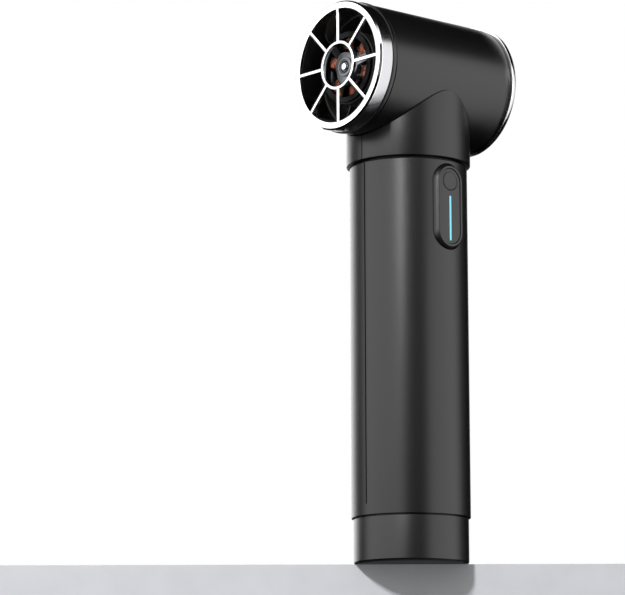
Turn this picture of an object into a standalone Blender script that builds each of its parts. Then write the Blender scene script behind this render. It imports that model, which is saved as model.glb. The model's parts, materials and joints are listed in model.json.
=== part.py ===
"""Cordless hand-held jet blower for drying cars, as an assembly of separate pieces.

Metres, +Z up. The handle's axis is the Z axis and the foot stands on z = 0. The head's axis is level:
the air leaves towards -Y and is drawn in from +Y. The control panel faces +X.

Pieces of the head are built along their own Z axis and hang on an empty that lays this axis along +Y,
so in the head "axial" is the distance from the handle's axis, positive towards the intake.
"""

import math

import bmesh
import bpy
from mathutils import Matrix, Vector

MM = 0.001

# ---- clearances ----
FIT_GAP = 0.3 * MM  # between pieces that seat on each other
INLAY_GAP = 0.15 * MM  # round the panel's inlays
RUNNING_GAP = 0.5 * MM  # between turning and fixed pieces
SHAFT_FIT = 0.06 * MM  # between the shaft and what is pressed on it
FACE_STEP = 0.05 * MM  # how far the spokes and ribs lie below the rims that they join

# ---- battery pack ----
CELL_DIAMETER = 18.4 * MM
CELL_LENGTH = 65.0 * MM
CELL_TERMINAL_DIAMETER = 7.0 * MM
CELL_TERMINAL_HEIGHT = 0.8 * MM
PACK_CLEARANCE = 0.78 * MM
HOLDER_THICKNESS = 2.3 * MM
HOLDER_WINDOW_DIAMETER = 10.0 * MM
HOLDER_CORE_DIAMETER = 4.4 * MM
LINK_THICKNESS = 0.4 * MM
LINK_WIDTH = 7.0 * MM

# ---- handle ----
SLEEVE_WALL = 1.8 * MM
SLEEVE_LENGTH = 149.1 * MM
SLEEVE_EDGE = 0.4 * MM
SLEEVE_REBATE_DEPTH = 1.0 * MM
SEAM_GROOVE_WIDTH = 0.5 * MM
SEAM_GROOVE_DEPTH = 0.6 * MM
SEAM_GROOVE_END = 4.7 * MM  # plain wall left below the groove
CAP_HEIGHT = 18.4 * MM
CAP_INSET = 0.85 * MM
CAP_WALL = 1.9 * MM
CAP_FLOOR = 4.5 * MM
CAP_EDGE = 0.7 * MM
CAP_SEAM = 0.4 * MM
CAP_SPIGOT_HEIGHT = 3.0 * MM
FOOT_STAND = 0.4 * MM  # how far the foot pad stands out of the cap
FOOT_RECESS = 1.3 * MM
FOOT_INSET = 1.25 * MM  # from the cap's outside to the recess
FOOT_EDGE = 0.4 * MM

# ---- base: screws, charging board and socket ----
SCREW_OFFSET = 13.0 * MM
SCREW_DIAMETER = 2.4 * MM
SCREW_HEAD_DIAMETER = 5.0 * MM
SCREW_HEAD_HEIGHT = 1.4 * MM
SCREW_LENGTH = 11.0 * MM
BOSS_WALL = 1.4 * MM
BOARD_THICKNESS = 1.6 * MM
CHARGE_BOARD_DIAMETER = 37.0 * MM
CHARGE_BOARD_POST = 3.4 * MM
CHARGE_POST_DIAMETER = 3.6 * MM
CHARGE_POST_OFFSET = 9.5 * MM
SOCKET_WIDTH = 8.9 * MM
SOCKET_HEIGHT = 3.2 * MM
SOCKET_DEPTH = 7.2 * MM
SOCKET_SHELL = 0.35 * MM
SOCKET_TONGUE_WIDTH = 6.6 * MM
SOCKET_TONGUE_HEIGHT = 0.7 * MM
SOCKET_OFFSET = 10.0 * MM  # behind the handle's axis
SOCKET_MARGIN = 1.5 * MM  # of the foot pad's window round the socket

# ---- controller ----
CONTROLLER_WIDTH = 38.0 * MM
CONTROLLER_OFFSET = 4.0 * MM  # behind the handle's axis, away from the panel
CONTROLLER_FOOT = 2.9 * MM  # of the board's lower edge above the cell holder
CONTROLLER_HEADROOM = 2.8 * MM  # below the neck's spigot
CONTROLLER_POST_HEIGHT = 9.0 * MM
CONTROLLER_POST_WALL = 1.6 * MM
CONTROLLER_POST_GRIP = 2.2 * MM
CAPACITOR_DIAMETER = 10.0 * MM
CAPACITOR_LENGTH = 16.0 * MM
CAPACITOR_HEIGHT = 18.0 * MM  # of its lower end above the board's lower edge

# ---- neck ----
NECK_SEAM = 1.0 * MM
NECK_OVERHANG = 1.4 * MM
NECK_WALL = 2.2 * MM
NECK_EDGE = 0.4 * MM
NECK_PARTING = 0.5 * MM
SADDLE_GAP = 0.65 * MM  # between the barrel and the neck's top edge
SPIGOT_WALL = 2.0 * MM
SPIGOT_LENGTH = 10.0 * MM
SHOULDER_THICKNESS = 2.2 * MM
SEAL_WIDTH = 1.0 * MM
SEAL_HEIGHT = 1.3 * MM

# ---- control panel ----
PANEL_DROP = 19.8 * MM  # of its centre below the sleeve's top
PANEL_HEIGHT = 34.6 * MM
PANEL_WIDTH = 13.5 * MM
PANEL_PROUD = 1.3 * MM  # of its face beyond the sleeve's side
PANEL_FLARE = 1.05 * MM  # how much wider the bezel is where it meets the sleeve
PANEL_FLARE_DEPTH = 2.4 * MM
PANEL_BEZEL_DEPTH = 4.6 * MM
PANEL_BORDER = 1.15 * MM
PANEL_RECESS = 0.3 * MM
PANEL_LEDGE = 0.8 * MM
PLATE_THICKNESS = 1.5 * MM
BUTTON_DIAMETER = 9.0 * MM
BUTTON_RISE = 10.7 * MM  # of its centre above the panel's centre
BUTTON_TRAVEL = 0.6 * MM
BUTTON_FLANGE = 0.7 * MM
BUTTON_FLANGE_THICKNESS = 0.7 * MM
BUTTON_PROUD = 0.2 * MM
LIGHT_LENGTH = 19.2 * MM
LIGHT_WIDTH = 1.3 * MM
LIGHT_DROP = 5.1 * MM  # of its centre below the panel's centre
SWITCH_SIDE = 6.0 * MM
SWITCH_HEIGHT = 3.4 * MM
PLUNGER_DIAMETER = 3.2 * MM
PLUNGER_LENGTH = 2.2 * MM
SWITCH_BOARD_WIDTH = 12.0 * MM
SWITCH_BOARD_HEIGHT = 33.0 * MM
PANEL_POST_DIAMETER = 2.6 * MM
PANEL_POST_OFFSET = 0.87 * MM  # of its centre beyond the ledge's edge

# ---- head ----
HEAD_RISE = 38.5 * MM  # of the head's axis above the neck's lower edge
BARREL_OVERHANG = 1.3 * MM  # of the barrel beyond the neck
BARREL_WALL = 2.0 * MM
BARREL_EDGE = 0.3 * MM
OUTLET_REACH = 40.2 * MM
INTAKE_REACH = 37.0 * MM

# ---- outlet grille ----
BAND_LENGTH = 6.8 * MM
BAND_INSET = 0.1 * MM
BAND_ROUND = 1.4 * MM
GRILLE_WALL = 1.14 * MM
GRILLE_SKIRT = 6.4 * MM
SPOKE_COUNT = 8
SPOKE_WIDTH = 1.85 * MM
SPOKE_DEPTH = 1.6 * MM
EYE_DIAMETER = 21.0 * MM
EYE_WIDTH = 1.65 * MM
TRIM_WIDTH = 1.7 * MM
TRIM_PROUD = 0.3 * MM
TRIM_SEAM = 0.4 * MM

# ---- intake ----
LIP_PROUD = 1.35 * MM
LIP_WIDTH = 0.8 * MM
LIP_FLARE = 1.4 * MM
LIP_ROLL = 0.7 * MM
THROAT_LENGTH = 10.5 * MM
GUARD_SETBACK = 10.8 * MM
GUARD_THICKNESS = 1.2 * MM
GUARD_RIM = 1.0 * MM
GUARD_RIB_COUNT = 6
GUARD_RIB_WIDTH = 0.9 * MM
GUARD_RING_SPACING = 6.9 * MM
GUARD_RING_COUNT = 3

# ---- duct, motor pod and vanes ----
MOUNT_RING_THICKNESS = 0.55 * MM
MOUNT_RING_WIDTH = 3.0 * MM
DUCT_WALL = 0.85 * MM
DUCT_INTAKE_END = 13.2 * MM
POD_SETBACK = 6.8 * MM  # of the pod's open end behind the outlet face
POD_WALL = 1.3 * MM
POD_END_WALL = 1.5 * MM
VANE_COUNT = 7
VANE_THICKNESS = 0.9 * MM
VANE_LENGTH = 16.0 * MM
VANE_SWIRL_DEG = 38.0
VANE_FIT = 0.15 * MM  # between the vanes' tips and the liner
TUNNEL_WIDTH = 7.4 * MM
TUNNEL_DEPTH = 4.4 * MM
TUNNEL_WALL = 1.2 * MM
BARREL_WIRE_HOLE = 7.0 * MM

# ---- motor ----
STATOR_DIAMETER = 28.0 * MM
STATOR_LENGTH = 16.0 * MM
STATOR_SETBACK = 2.9 * MM
STATOR_BORE = 12.8 * MM
YOKE_THICKNESS = 0.95 * MM
TOOTH_COUNT = 6
TOOTH_WIDTH = 3.4 * MM
TOOTH_SHOE = 0.65 * MM
SLOT_MOUTH = 1.8 * MM
FIRST_COIL_DEG = 40.0
INSULATOR_THICKNESS = 0.7 * MM
WIRE_DIAMETER = 0.85 * MM
COIL_PITCH = 1.36 * MM
COIL_FAN = 0.1 * MM  # how much wider each loop is than the one inside it
COIL_TOOTH_GAP = 0.45 * MM
COIL_END_GAP = 0.5 * MM
COIL_CORNER = 1.3 * MM
SHAFT_DIAMETER = 3.0 * MM
SHAFT_SETBACK = 3.6 * MM
BEARING_DIAMETER = 6.4 * MM
BEARING_WIDTH = 2.6 * MM
RACE_WALL = 0.5 * MM
BRACKET_SETBACK = 5.1 * MM
BRACKET_THICKNESS = 1.3 * MM
BRACKET_BOSS_WALL = 0.9 * MM
BRACKET_BOSS_RISE = 1.0 * MM
BRACKET_HUB_DIAMETER = 14.4 * MM
BRACKET_RIM_WIDTH = 2.5 * MM
BRACKET_ARM_COUNT = 3
BRACKET_ARM_WIDTH = 3.4 * MM
BRACKET_FIRST_ARM_DEG = 10.0

# ---- impeller ----
BLADE_COUNT = 9
BLADE_ROOT_THICKNESS = 1.0 * MM
BLADE_TIP_THICKNESS = 0.6 * MM
BLADE_ROOT_ANGLE_DEG = 34.0
BLADE_TIP_ANGLE_DEG = 56.0
BLADE_ROOT_LENGTH = 12.0 * MM
BLADE_TIP_LENGTH = 13.0 * MM
HUB_DIAMETER = 29.0 * MM
HUB_LENGTH = 19.0 * MM
HUB_NOSE_DIAMETER = 9.6 * MM
HUB_SHELL = 1.6 * MM
HUB_RECESS_DEPTH = 7.0 * MM
SPINNER_LENGTH = 6.0 * MM
SPINNER_BORE_DEPTH = 4.2 * MM

# ---- leads ----
MOTOR_WIRE_DIAMETER = 1.2 * MM
MOTOR_WIRE_SPACING = 1.55 * MM
MOTOR_WIRE_TAIL = 1.2 * MM  # how far the wires reach into the pod
MOTOR_JOINT_SPACING = 3.5 * MM
MOTOR_JOINT_INSET = 4.9 * MM  # of the first joint from the board's outlet edge
MOTOR_JOINT_DROP = 3.0 * MM  # below the board's upper edge
BATTERY_LEAD_DIAMETER = 1.6 * MM
BATTERY_JOINT_HEIGHT = 8.0 * MM  # above the board's lower edge
BATTERY_JOINT_OFFSET = 6.5 * MM  # either side of the board's middle
CHARGE_LEAD_DIAMETER = 2.4 * MM
CHARGE_JOINT_HEIGHT = 6.0 * MM
JOINT_LENGTH = 5.0 * MM  # of the straight end that lies on the board
LEAD_RISE = 3.0 * MM  # straight out of where a lead starts

# ---- facets ----
SHELL_FACETS = 40
INNER_FACETS = 28
CORE_FACETS = 24
SMALL_FACETS = 20
TINY_FACETS = 12

# ---- levels up the handle ----
CAP_BOTTOM = FOOT_STAND
CAP_TOP = CAP_BOTTOM + CAP_HEIGHT
SLEEVE_BOTTOM = CAP_TOP + CAP_SEAM
SLEEVE_TOP = SLEEVE_BOTTOM + SLEEVE_LENGTH
NECK_BOTTOM = SLEEVE_TOP + NECK_SEAM
HEAD_AXIS = NECK_BOTTOM + HEAD_RISE
SPIGOT_BOTTOM = SLEEVE_TOP - SPIGOT_LENGTH
PANEL_CENTRE = SLEEVE_TOP - PANEL_DROP
CAP_SPIGOT_TOP = CAP_TOP + CAP_SPIGOT_HEIGHT
LOWER_LINK_BOTTOM = CAP_SPIGOT_TOP + FIT_GAP
LOWER_HOLDER_BOTTOM = LOWER_LINK_BOTTOM + LINK_THICKNESS + FIT_GAP
CELL_BOTTOM = LOWER_HOLDER_BOTTOM + HOLDER_THICKNESS + FIT_GAP
CELL_TOP = CELL_BOTTOM + CELL_LENGTH
UPPER_HOLDER_BOTTOM = CELL_TOP + FIT_GAP
UPPER_HOLDER_TOP = UPPER_HOLDER_BOTTOM + HOLDER_THICKNESS
CONTROLLER_BOTTOM = UPPER_HOLDER_TOP + CONTROLLER_FOOT
CONTROLLER_TOP = SPIGOT_BOTTOM - CONTROLLER_HEADROOM
CHARGE_BOARD_BOTTOM = CAP_BOTTOM + CAP_FLOOR + CHARGE_BOARD_POST + FIT_GAP

# ---- radii of the handle ----
CELL_PITCH = CELL_DIAMETER + FIT_GAP
SLEEVE_BORE = CELL_PITCH / math.sqrt(2) + CELL_DIAMETER / 2 + PACK_CLEARANCE
SLEEVE_RADIUS = SLEEVE_BORE + SLEEVE_WALL
CAP_RADIUS = SLEEVE_RADIUS - CAP_INSET
SPIGOT_RADIUS = SLEEVE_BORE - FIT_GAP
NECK_RADIUS = SLEEVE_RADIUS + NECK_OVERHANG
SEAL_RADIUS = SLEEVE_BORE + SEAL_WIDTH

# ---- radii of the head ----
BARREL_RADIUS = NECK_RADIUS + BARREL_OVERHANG
BARREL_BORE = BARREL_RADIUS - BARREL_WALL
SKIRT_RADIUS = BARREL_BORE - FIT_GAP
BAND_RADIUS = BARREL_RADIUS - BAND_INSET
OPENING_RADIUS = SKIRT_RADIUS - GRILLE_WALL
DUCT_OUTSIDE = BARREL_BORE - MOUNT_RING_THICKNESS - 1.5 * FIT_GAP
DUCT_RADIUS = DUCT_OUTSIDE - DUCT_WALL
POD_BORE = STATOR_DIAMETER / 2 + FIT_GAP
POD_RADIUS = POD_BORE + POD_WALL
BEARING_RADIUS = BEARING_DIAMETER / 2
BEARING_POCKET = BEARING_RADIUS + SHAFT_FIT
MAGNET_RADIUS = STATOR_BORE / 2 - RUNNING_GAP

# ---- places along the head ----
BAND_END = -OUTLET_REACH + BAND_LENGTH
TRIM_START = BAND_END + FIT_GAP
BARREL_FRONT = TRIM_START + TRIM_WIDTH + TRIM_SEAM
SKIRT_END = BAND_END + GRILLE_SKIRT
LIP_START = INTAKE_REACH - LIP_WIDTH - LIP_FLARE
BARREL_BACK = LIP_START - FIT_GAP
DUCT_OUTLET_END = SKIRT_END + FIT_GAP
POD_START = -OUTLET_REACH + POD_SETBACK
STATOR_START = POD_START + STATOR_SETBACK
STATOR_END = STATOR_START + STATOR_LENGTH
STATOR_MIDDLE = (STATOR_START + STATOR_END) / 2
INSULATOR_REACH = STATOR_LENGTH / 2 + FIT_GAP + INSULATOR_THICKNESS
COIL_REACH = INSULATOR_REACH + COIL_END_GAP + WIRE_DIAMETER / 2
COIL_END = STATOR_MIDDLE + COIL_REACH + WIRE_DIAMETER / 2
POD_WALL_START = COIL_END + FIT_GAP
POD_END = POD_WALL_START + POD_END_WALL
HUB_START = POD_END + RUNNING_GAP
HUB_END = HUB_START + HUB_LENGTH
BRACKET_START = -OUTLET_REACH + BRACKET_SETBACK
BRACKET_BOSS_START = BRACKET_START - BRACKET_BOSS_RISE
COIL_START = STATOR_BORE / 2 + TOOTH_SHOE + FIT_GAP + WIRE_DIAMETER / 2
COIL_ROOM = STATOR_DIAMETER / 2 - YOKE_THICKNESS - FIT_GAP - WIRE_DIAMETER / 2 - COIL_START
COIL_LOOPS = 1 + int(COIL_ROOM / COIL_PITCH)
TUNNEL_AXIAL = STATOR_MIDDLE + INSULATOR_REACH + FIT_GAP + MOTOR_WIRE_DIAMETER / 2

# ---- places across the panel ----
PANEL_FACE = SLEEVE_RADIUS + PANEL_PROUD
BEZEL_BACK = PANEL_FACE - PANEL_BEZEL_DEPTH
PLATE_FACE = PANEL_FACE - PANEL_RECESS
PLATE_BACK = PLATE_FACE - PLATE_THICKNESS
WINDOW_RADIUS = PANEL_WIDTH / 2 - PANEL_BORDER
PANEL_HALF_RUN = (PANEL_HEIGHT - PANEL_WIDTH) / 2  # from the panel's centre to the centre of each round end
BUTTON_FACE = PLATE_FACE + BUTTON_PROUD
FLANGE_FACE = PLATE_BACK - INLAY_GAP
FLANGE_BACK = FLANGE_FACE - BUTTON_FLANGE_THICKNESS
PLUNGER_FACE = FLANGE_BACK - INLAY_GAP
SWITCH_FACE = PLUNGER_FACE - BUTTON_TRAVEL - INLAY_GAP
SWITCH_BOARD_FACE = SWITCH_FACE - SWITCH_HEIGHT - INLAY_GAP
BUTTON_HEIGHT = PANEL_CENTRE + BUTTON_RISE
LIGHT_CENTRE = PANEL_CENTRE - LIGHT_DROP

HEAD_TURN = (-math.pi / 2, 0.0, 0.0)  # lays a piece's own Z axis along +Y
PANEL_TURN = (math.pi / 2, 0.0, math.pi / 2)  # lays a piece's own X, Y and Z axes along Y, Z and X


# ---- making things ----


def clear_scene():
    for obj in list(bpy.data.objects):
        bpy.data.objects.remove(obj, do_unlink=True)


def linear(value):
    return value / 12.92 if value <= 0.04045 else ((value + 0.055) / 1.055) ** 2.4


def material(name, hex_colour, metallic, roughness):
    made = bpy.data.materials.get(name)
    if made is None:
        made = bpy.data.materials.new(name)
        made.use_nodes = True
        shader = made.node_tree.nodes["Principled BSDF"]
        channels = [int(hex_colour[i : i + 2], 16) / 255 for i in (1, 3, 5)]
        shader.inputs["Base Color"].default_value = [linear(c) for c in channels] + [1.0]
        shader.inputs["Metallic"].default_value = metallic
        shader.inputs["Roughness"].default_value = roughness
    return made


def black_shell():
    return material("matte black shell", "#2B2B2D", 0.0, 0.42)


def chrome():
    return material("polished chrome", "#E6E6E8", 1.0, 0.08)


def dark_nylon():
    return material("dark nylon", "#1C1C1E", 0.0, 0.5)


def rubber():
    return material("black rubber", "#141414", 0.0, 0.7)


def steel():
    return material("ground steel", "#C8CACC", 1.0, 0.25)


def circuit_board():
    return material("circuit board", "#12402A", 0.0, 0.45)


def empty(name, location, rotation=(0.0, 0.0, 0.0), parent=None):
    made = bpy.data.objects.new(name, None)
    bpy.context.scene.collection.objects.link(made)
    made.location = location
    made.rotation_euler = rotation
    made.parent = parent
    return made


def add_object(name, bm, look=None, parent=None):
    """Makes the object of a bmesh, closed and facing outwards, under its parent empty."""
    bmesh.ops.recalc_face_normals(bm, faces=bm.faces)
    mesh = bpy.data.meshes.new(name)
    bm.to_mesh(mesh)
    bm.free()
    mesh.shade_smooth()
    mesh.set_sharp_from_angle(angle=math.radians(32))
    made = bpy.data.objects.new(name, mesh)
    bpy.context.scene.collection.objects.link(made)
    made.parent = parent
    if look:
        mesh.materials.append(look)
    return made


def spun(outline, facets):
    """A bmesh of an outline of (axial, radius) points, turned once round the Z axis."""
    bm = bmesh.new()
    ring = [bm.verts.new((radius, 0.0, axial)) for axial, radius in outline]
    for here, there in zip(ring, ring[1:] + ring[:1]):
        if here.co.x > 0 or there.co.x > 0:
            bm.edges.new((here, there))
    bmesh.ops.spin(
        bm,
        geom=bm.verts[:] + bm.edges[:],
        cent=(0, 0, 0),
        axis=(0, 0, 1),
        angle=2 * math.pi,
        steps=facets,
        use_merge=True,
    )
    bmesh.ops.remove_doubles(bm, verts=bm.verts, dist=0.002 * MM)
    return bm


def turned(name, outline, facets, look=None, parent=None):
    return add_object(name, spun(outline, facets), look, parent)


def ring(name, low, high, inner, outer, facets, look=None, parent=None):
    return turned(name, [(low, inner), (high, inner), (high, outer), (low, outer)], facets, look, parent)


def rod(name, low, high, radius, facets, look=None, parent=None):
    return turned(name, [(low, 0.0), (high, 0.0), (high, radius), (low, radius)], facets, look, parent)


def add_prism(bm, points, low, high):
    """Adds a closed prism over a polygon of (x, y) points, between two heights."""
    base = [bm.verts.new((x, y, low)) for x, y in points]
    face = bm.faces.new(base)
    extruded = bmesh.ops.extrude_face_region(bm, geom=[face])["geom"]
    lifted = [item for item in extruded if isinstance(item, bmesh.types.BMVert)]
    bmesh.ops.translate(bm, verts=lifted, vec=(0, 0, high - low))


def prism(name, points, low, high, look=None, parent=None):
    bm = bmesh.new()
    add_prism(bm, points, low, high)
    return add_object(name, bm, look, parent)


def box(name, low, high, look=None, parent=None):
    corners = [(low[0], low[1]), (high[0], low[1]), (high[0], high[1]), (low[0], high[1])]
    return prism(name, corners, low[2], high[2], look, parent)


def pill(radius, half_run, facets, centre=(0.0, 0.0)):
    """A stadium that is long in Y: two half circles about centres half_run either side of its own centre."""
    points = []
    for end in (1, -1):
        for i in range(facets + 1):
            angle = math.pi * i / facets + (0 if end > 0 else math.pi)
            x = radius * math.cos(angle)
            y = radius * math.sin(angle) + end * half_run
            points.append((centre[0] + x, centre[1] + y))
    return points


def helper(obj):
    """Marks a cutter or a tool, which isn't a piece of the object."""
    obj.hide_render = True
    obj.display_type = "WIRE"
    return obj


def boolean(target, tool, operation):
    """Cuts target with tool, joins tool to it or keeps what they share. The tool stays as a helper."""
    change = target.modifiers.new(tool.name, "BOOLEAN")
    change.operation = operation
    change.solver = "EXACT"
    change.object = helper(tool)
    return target


def cut(target, tool):
    return boolean(target, tool, "DIFFERENCE")


def join(target, tool):
    return boolean(target, tool, "UNION")


def keep(target, tool):
    return boolean(target, tool, "INTERSECT")


def lead(name, points, diameter, hex_colour, sides_resolution=2):
    """An insulated lead: a smooth curve through the points of its route, as a tube with closed ends."""
    route = smooth_route([Vector(point) for point in points])
    curve = bpy.data.curves.new(name, "CURVE")
    curve.dimensions = "3D"
    curve.bevel_depth = diameter / 2
    curve.bevel_resolution = sides_resolution
    curve.use_fill_caps = True
    curve.materials.append(material(name + " sleeve", hex_colour, 0.0, 0.5))
    spline = curve.splines.new("POLY")
    spline.points.add(len(route) - 1)
    for target, point in zip(spline.points, route):
        target.co = (*point, 1.0)
    made = bpy.data.objects.new(name, curve)
    bpy.context.scene.collection.objects.link(made)
    return made


def smooth_route(points, steps=2):
    """Points along a Catmull-Rom curve through the route's own points."""
    path = [points[0] * 2 - points[1]] + points + [points[-1] * 2 - points[-2]]
    route = []
    for a, b, c, d in zip(path, path[1:], path[2:], path[3:]):
        for i in range(steps):
            t = i / steps
            route.append(
                0.5 * (2 * b + (c - a) * t + (2 * a - 5 * b + 4 * c - d) * t**2 + (3 * b - a - 3 * c + d) * t**3)
            )
    route.append(points[-1])
    return route


# ---- head shell ----


def make_head_barrel(head):
    """The plain tube of the head, with the hole that lets the motor wires down into the neck."""
    barrel = turned(
        "head_barrel",
        [
            (BARREL_FRONT, BARREL_BORE),
            (BARREL_BACK, BARREL_BORE),
            (BARREL_BACK, BARREL_RADIUS - BARREL_EDGE),
            (BARREL_BACK - BARREL_EDGE, BARREL_RADIUS),
            (BARREL_FRONT + BARREL_EDGE, BARREL_RADIUS),
            (BARREL_FRONT, BARREL_RADIUS - BARREL_EDGE),
        ],
        SHELL_FACETS,
        black_shell(),
        head,
    )
    hole = rod("barrel wire hole", -BARREL_RADIUS - MM, -BARREL_BORE + MM, BARREL_WIRE_HOLE / 2, SMALL_FACETS)
    hole.location = (0, TUNNEL_AXIAL, HEAD_AXIS)
    cut(barrel, hole)


def make_outlet_grille(head):
    """One chromed casting: rounded rim and side band, skirt, spokes and the open ring in the middle."""
    face = -OUTLET_REACH
    rounding = []
    for i in range(4):
        angle = math.pi / 2 * i / 3
        axial = face + BAND_ROUND - BAND_ROUND * math.cos(angle)
        rounding.append((axial, BAND_RADIUS - BAND_ROUND + BAND_ROUND * math.sin(angle)))
    outline = [(SKIRT_END, OPENING_RADIUS), (face, OPENING_RADIUS)] + rounding
    outline += [(BAND_END, BAND_RADIUS), (BAND_END, SKIRT_RADIUS), (SKIRT_END, SKIRT_RADIUS)]
    grille = turned("outlet_grille", outline, SHELL_FACETS, chrome(), head)
    eye_radius = EYE_DIAMETER / 2
    eye = ring(
        "grille eye", face + FACE_STEP, face + SPOKE_DEPTH + FACE_STEP, eye_radius - EYE_WIDTH, eye_radius, INNER_FACETS
    )
    eye.parent = head
    spokes = bmesh.new()
    start = eye_radius - EYE_WIDTH / 2
    end = (OPENING_RADIUS + SKIRT_RADIUS) / 2
    for i in range(SPOKE_COUNT):
        bmesh.ops.create_cube(
            spokes,
            size=1.0,
            matrix=Matrix.Rotation(2 * math.pi * i / SPOKE_COUNT, 4, "Z")
            @ Matrix.Translation(((start + end) / 2, 0, face + SPOKE_DEPTH / 2 + FACE_STEP * 2))
            @ Matrix.Diagonal((end - start, SPOKE_WIDTH, SPOKE_DEPTH - FACE_STEP * 3, 1)),
        )
    spoke_set = add_object("grille spokes", spokes, None, head)
    join(grille, spoke_set)
    join(grille, eye)


def make_trim_ring(head):
    outside = BARREL_RADIUS + TRIM_PROUD
    end = TRIM_START + TRIM_WIDTH
    turned(
        "outlet_trim_ring",
        [
            (TRIM_START, SKIRT_RADIUS + FIT_GAP),
            (end, SKIRT_RADIUS + FIT_GAP),
            (end, BARREL_RADIUS),
            ((TRIM_START + end) / 2, outside),
            (TRIM_START, BARREL_RADIUS),
        ],
        SHELL_FACETS,
        black_shell(),
        head,
    )


def make_bellmouth(head):
    """The chromed intake: a skirt in the barrel, a flared lip that stands proud, and a bell-shaped throat."""
    lip = BARREL_RADIUS + LIP_PROUD
    throat_start = DUCT_INTAKE_END + FIT_GAP
    throat_end = throat_start + THROAT_LENGTH
    outline = [(throat_start, SKIRT_RADIUS), (throat_start, DUCT_RADIUS), (throat_end, DUCT_RADIUS)]
    bell_radius = lip - LIP_ROLL - DUCT_RADIUS
    bell_length = INTAKE_REACH - throat_end
    steps = 4
    for i in range(1, steps + 1):
        angle = math.pi / 2 * i / steps
        outline.append((throat_end + bell_length * math.sin(angle), DUCT_RADIUS + bell_radius * (1 - math.cos(angle))))
    outline += [
        (INTAKE_REACH - LIP_ROLL * 0.3, lip - LIP_ROLL * 0.3),
        (INTAKE_REACH - LIP_ROLL, lip),
        (LIP_START + LIP_FLARE, lip),
        (LIP_START + LIP_FLARE * 0.6, lip - LIP_PROUD * 0.65),
        (LIP_START, BARREL_RADIUS),
        (LIP_START, SKIRT_RADIUS),
    ]
    turned("intake_bellmouth", outline, SHELL_FACETS, chrome(), head)


def make_intake_guard(head):
    """A moulded finger guard: rings joined by ribs, pressed into the throat."""
    start = INTAKE_REACH - GUARD_SETBACK
    end = start + GUARD_THICKNESS
    rim = DUCT_RADIUS - FIT_GAP
    guard = ring("intake_guard", start, end, rim - GUARD_RIM, rim, INNER_FACETS, dark_nylon(), head)
    reach = rim - GUARD_RIM / 2
    for i in range(GUARD_RIB_COUNT // 2):
        rib = bmesh.new()
        bmesh.ops.create_cube(
            rib,
            size=1.0,
            matrix=Matrix.Rotation(math.pi * (i + 0.5) / (GUARD_RIB_COUNT // 2), 4, "Z")
            @ Matrix.Translation((0, 0, (start + end) / 2))
            @ Matrix.Diagonal((2 * reach, GUARD_RIB_WIDTH, GUARD_THICKNESS - 4 * FACE_STEP * (i + 1) / 3, 1)),
        )
        join(guard, add_object("guard rib", rib, None, head))
    for i in range(1, GUARD_RING_COUNT):
        outer = rim - i * GUARD_RING_SPACING
        facets = CORE_FACETS - 4 * (i - 1)
        hoop = ring("guard ring", start + FACE_STEP, end - FACE_STEP, outer - GUARD_RIM, outer, facets)
        hoop.parent = head
        join(guard, hoop)


# ---- duct and motor ----


def add_blade(bm, stations, count_along):
    """Adds one closed blade. Each station is (radius, thickness, function from 0..1 to (angle, axial))."""
    sections = []
    for radius, thickness, camber in stations:
        front, back = [], []
        for i in range(count_along):
            share = i / (count_along - 1)
            angle, axial = camber(share)
            ahead = camber(min(1.0, share + 0.01))
            behind = camber(max(0.0, share - 0.01))
            run = radius * (ahead[0] - behind[0])
            rise = ahead[1] - behind[1]
            slope = math.hypot(run, rise)
            half = thickness / 2 * (0.35 + 0.65 * math.sin(math.pi * (0.08 + 0.84 * share)))
            turn = half * rise / slope / radius
            lift = half * run / slope
            front.append((angle + turn, axial - lift))
            back.append((angle - turn, axial + lift))
        loop = front + back[::-1]
        sections.append(
            [bm.verts.new((radius * math.cos(a), radius * math.sin(a), z)) for a, z in loop]
        )
    for inner, outer in zip(sections, sections[1:]):
        for i in range(len(inner)):
            j = (i + 1) % len(inner)
            bm.faces.new((inner[i], inner[j], outer[j], outer[i]))
    for section in (sections[0], sections[-1]):
        half = len(section) // 2
        for i in range(half - 1):
            bm.faces.new((section[i], section[i + 1], section[-i - 2], section[-i - 1]))


def tunnel_bore():
    """A cutter for the wires' way out of the pod, down through the liner."""
    half_width = TUNNEL_WIDTH / 2 - TUNNEL_WALL
    half_depth = TUNNEL_DEPTH / 2 - TUNNEL_WALL
    return box(
        "wire tunnel bore",
        (-half_width, TUNNEL_AXIAL - half_depth, HEAD_AXIS - DUCT_OUTSIDE - MM),
        (half_width, TUNNEL_AXIAL + half_depth, HEAD_AXIS - POD_BORE + MM),
    )


def make_duct_liner(head):
    """A plain tube that carries the air past the fan and the motor."""
    liner = ring(
        "duct_liner", DUCT_OUTLET_END, DUCT_INTAKE_END, DUCT_RADIUS, DUCT_OUTSIDE, INNER_FACETS, dark_nylon(), head
    )
    cut(liner, tunnel_bore())


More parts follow.
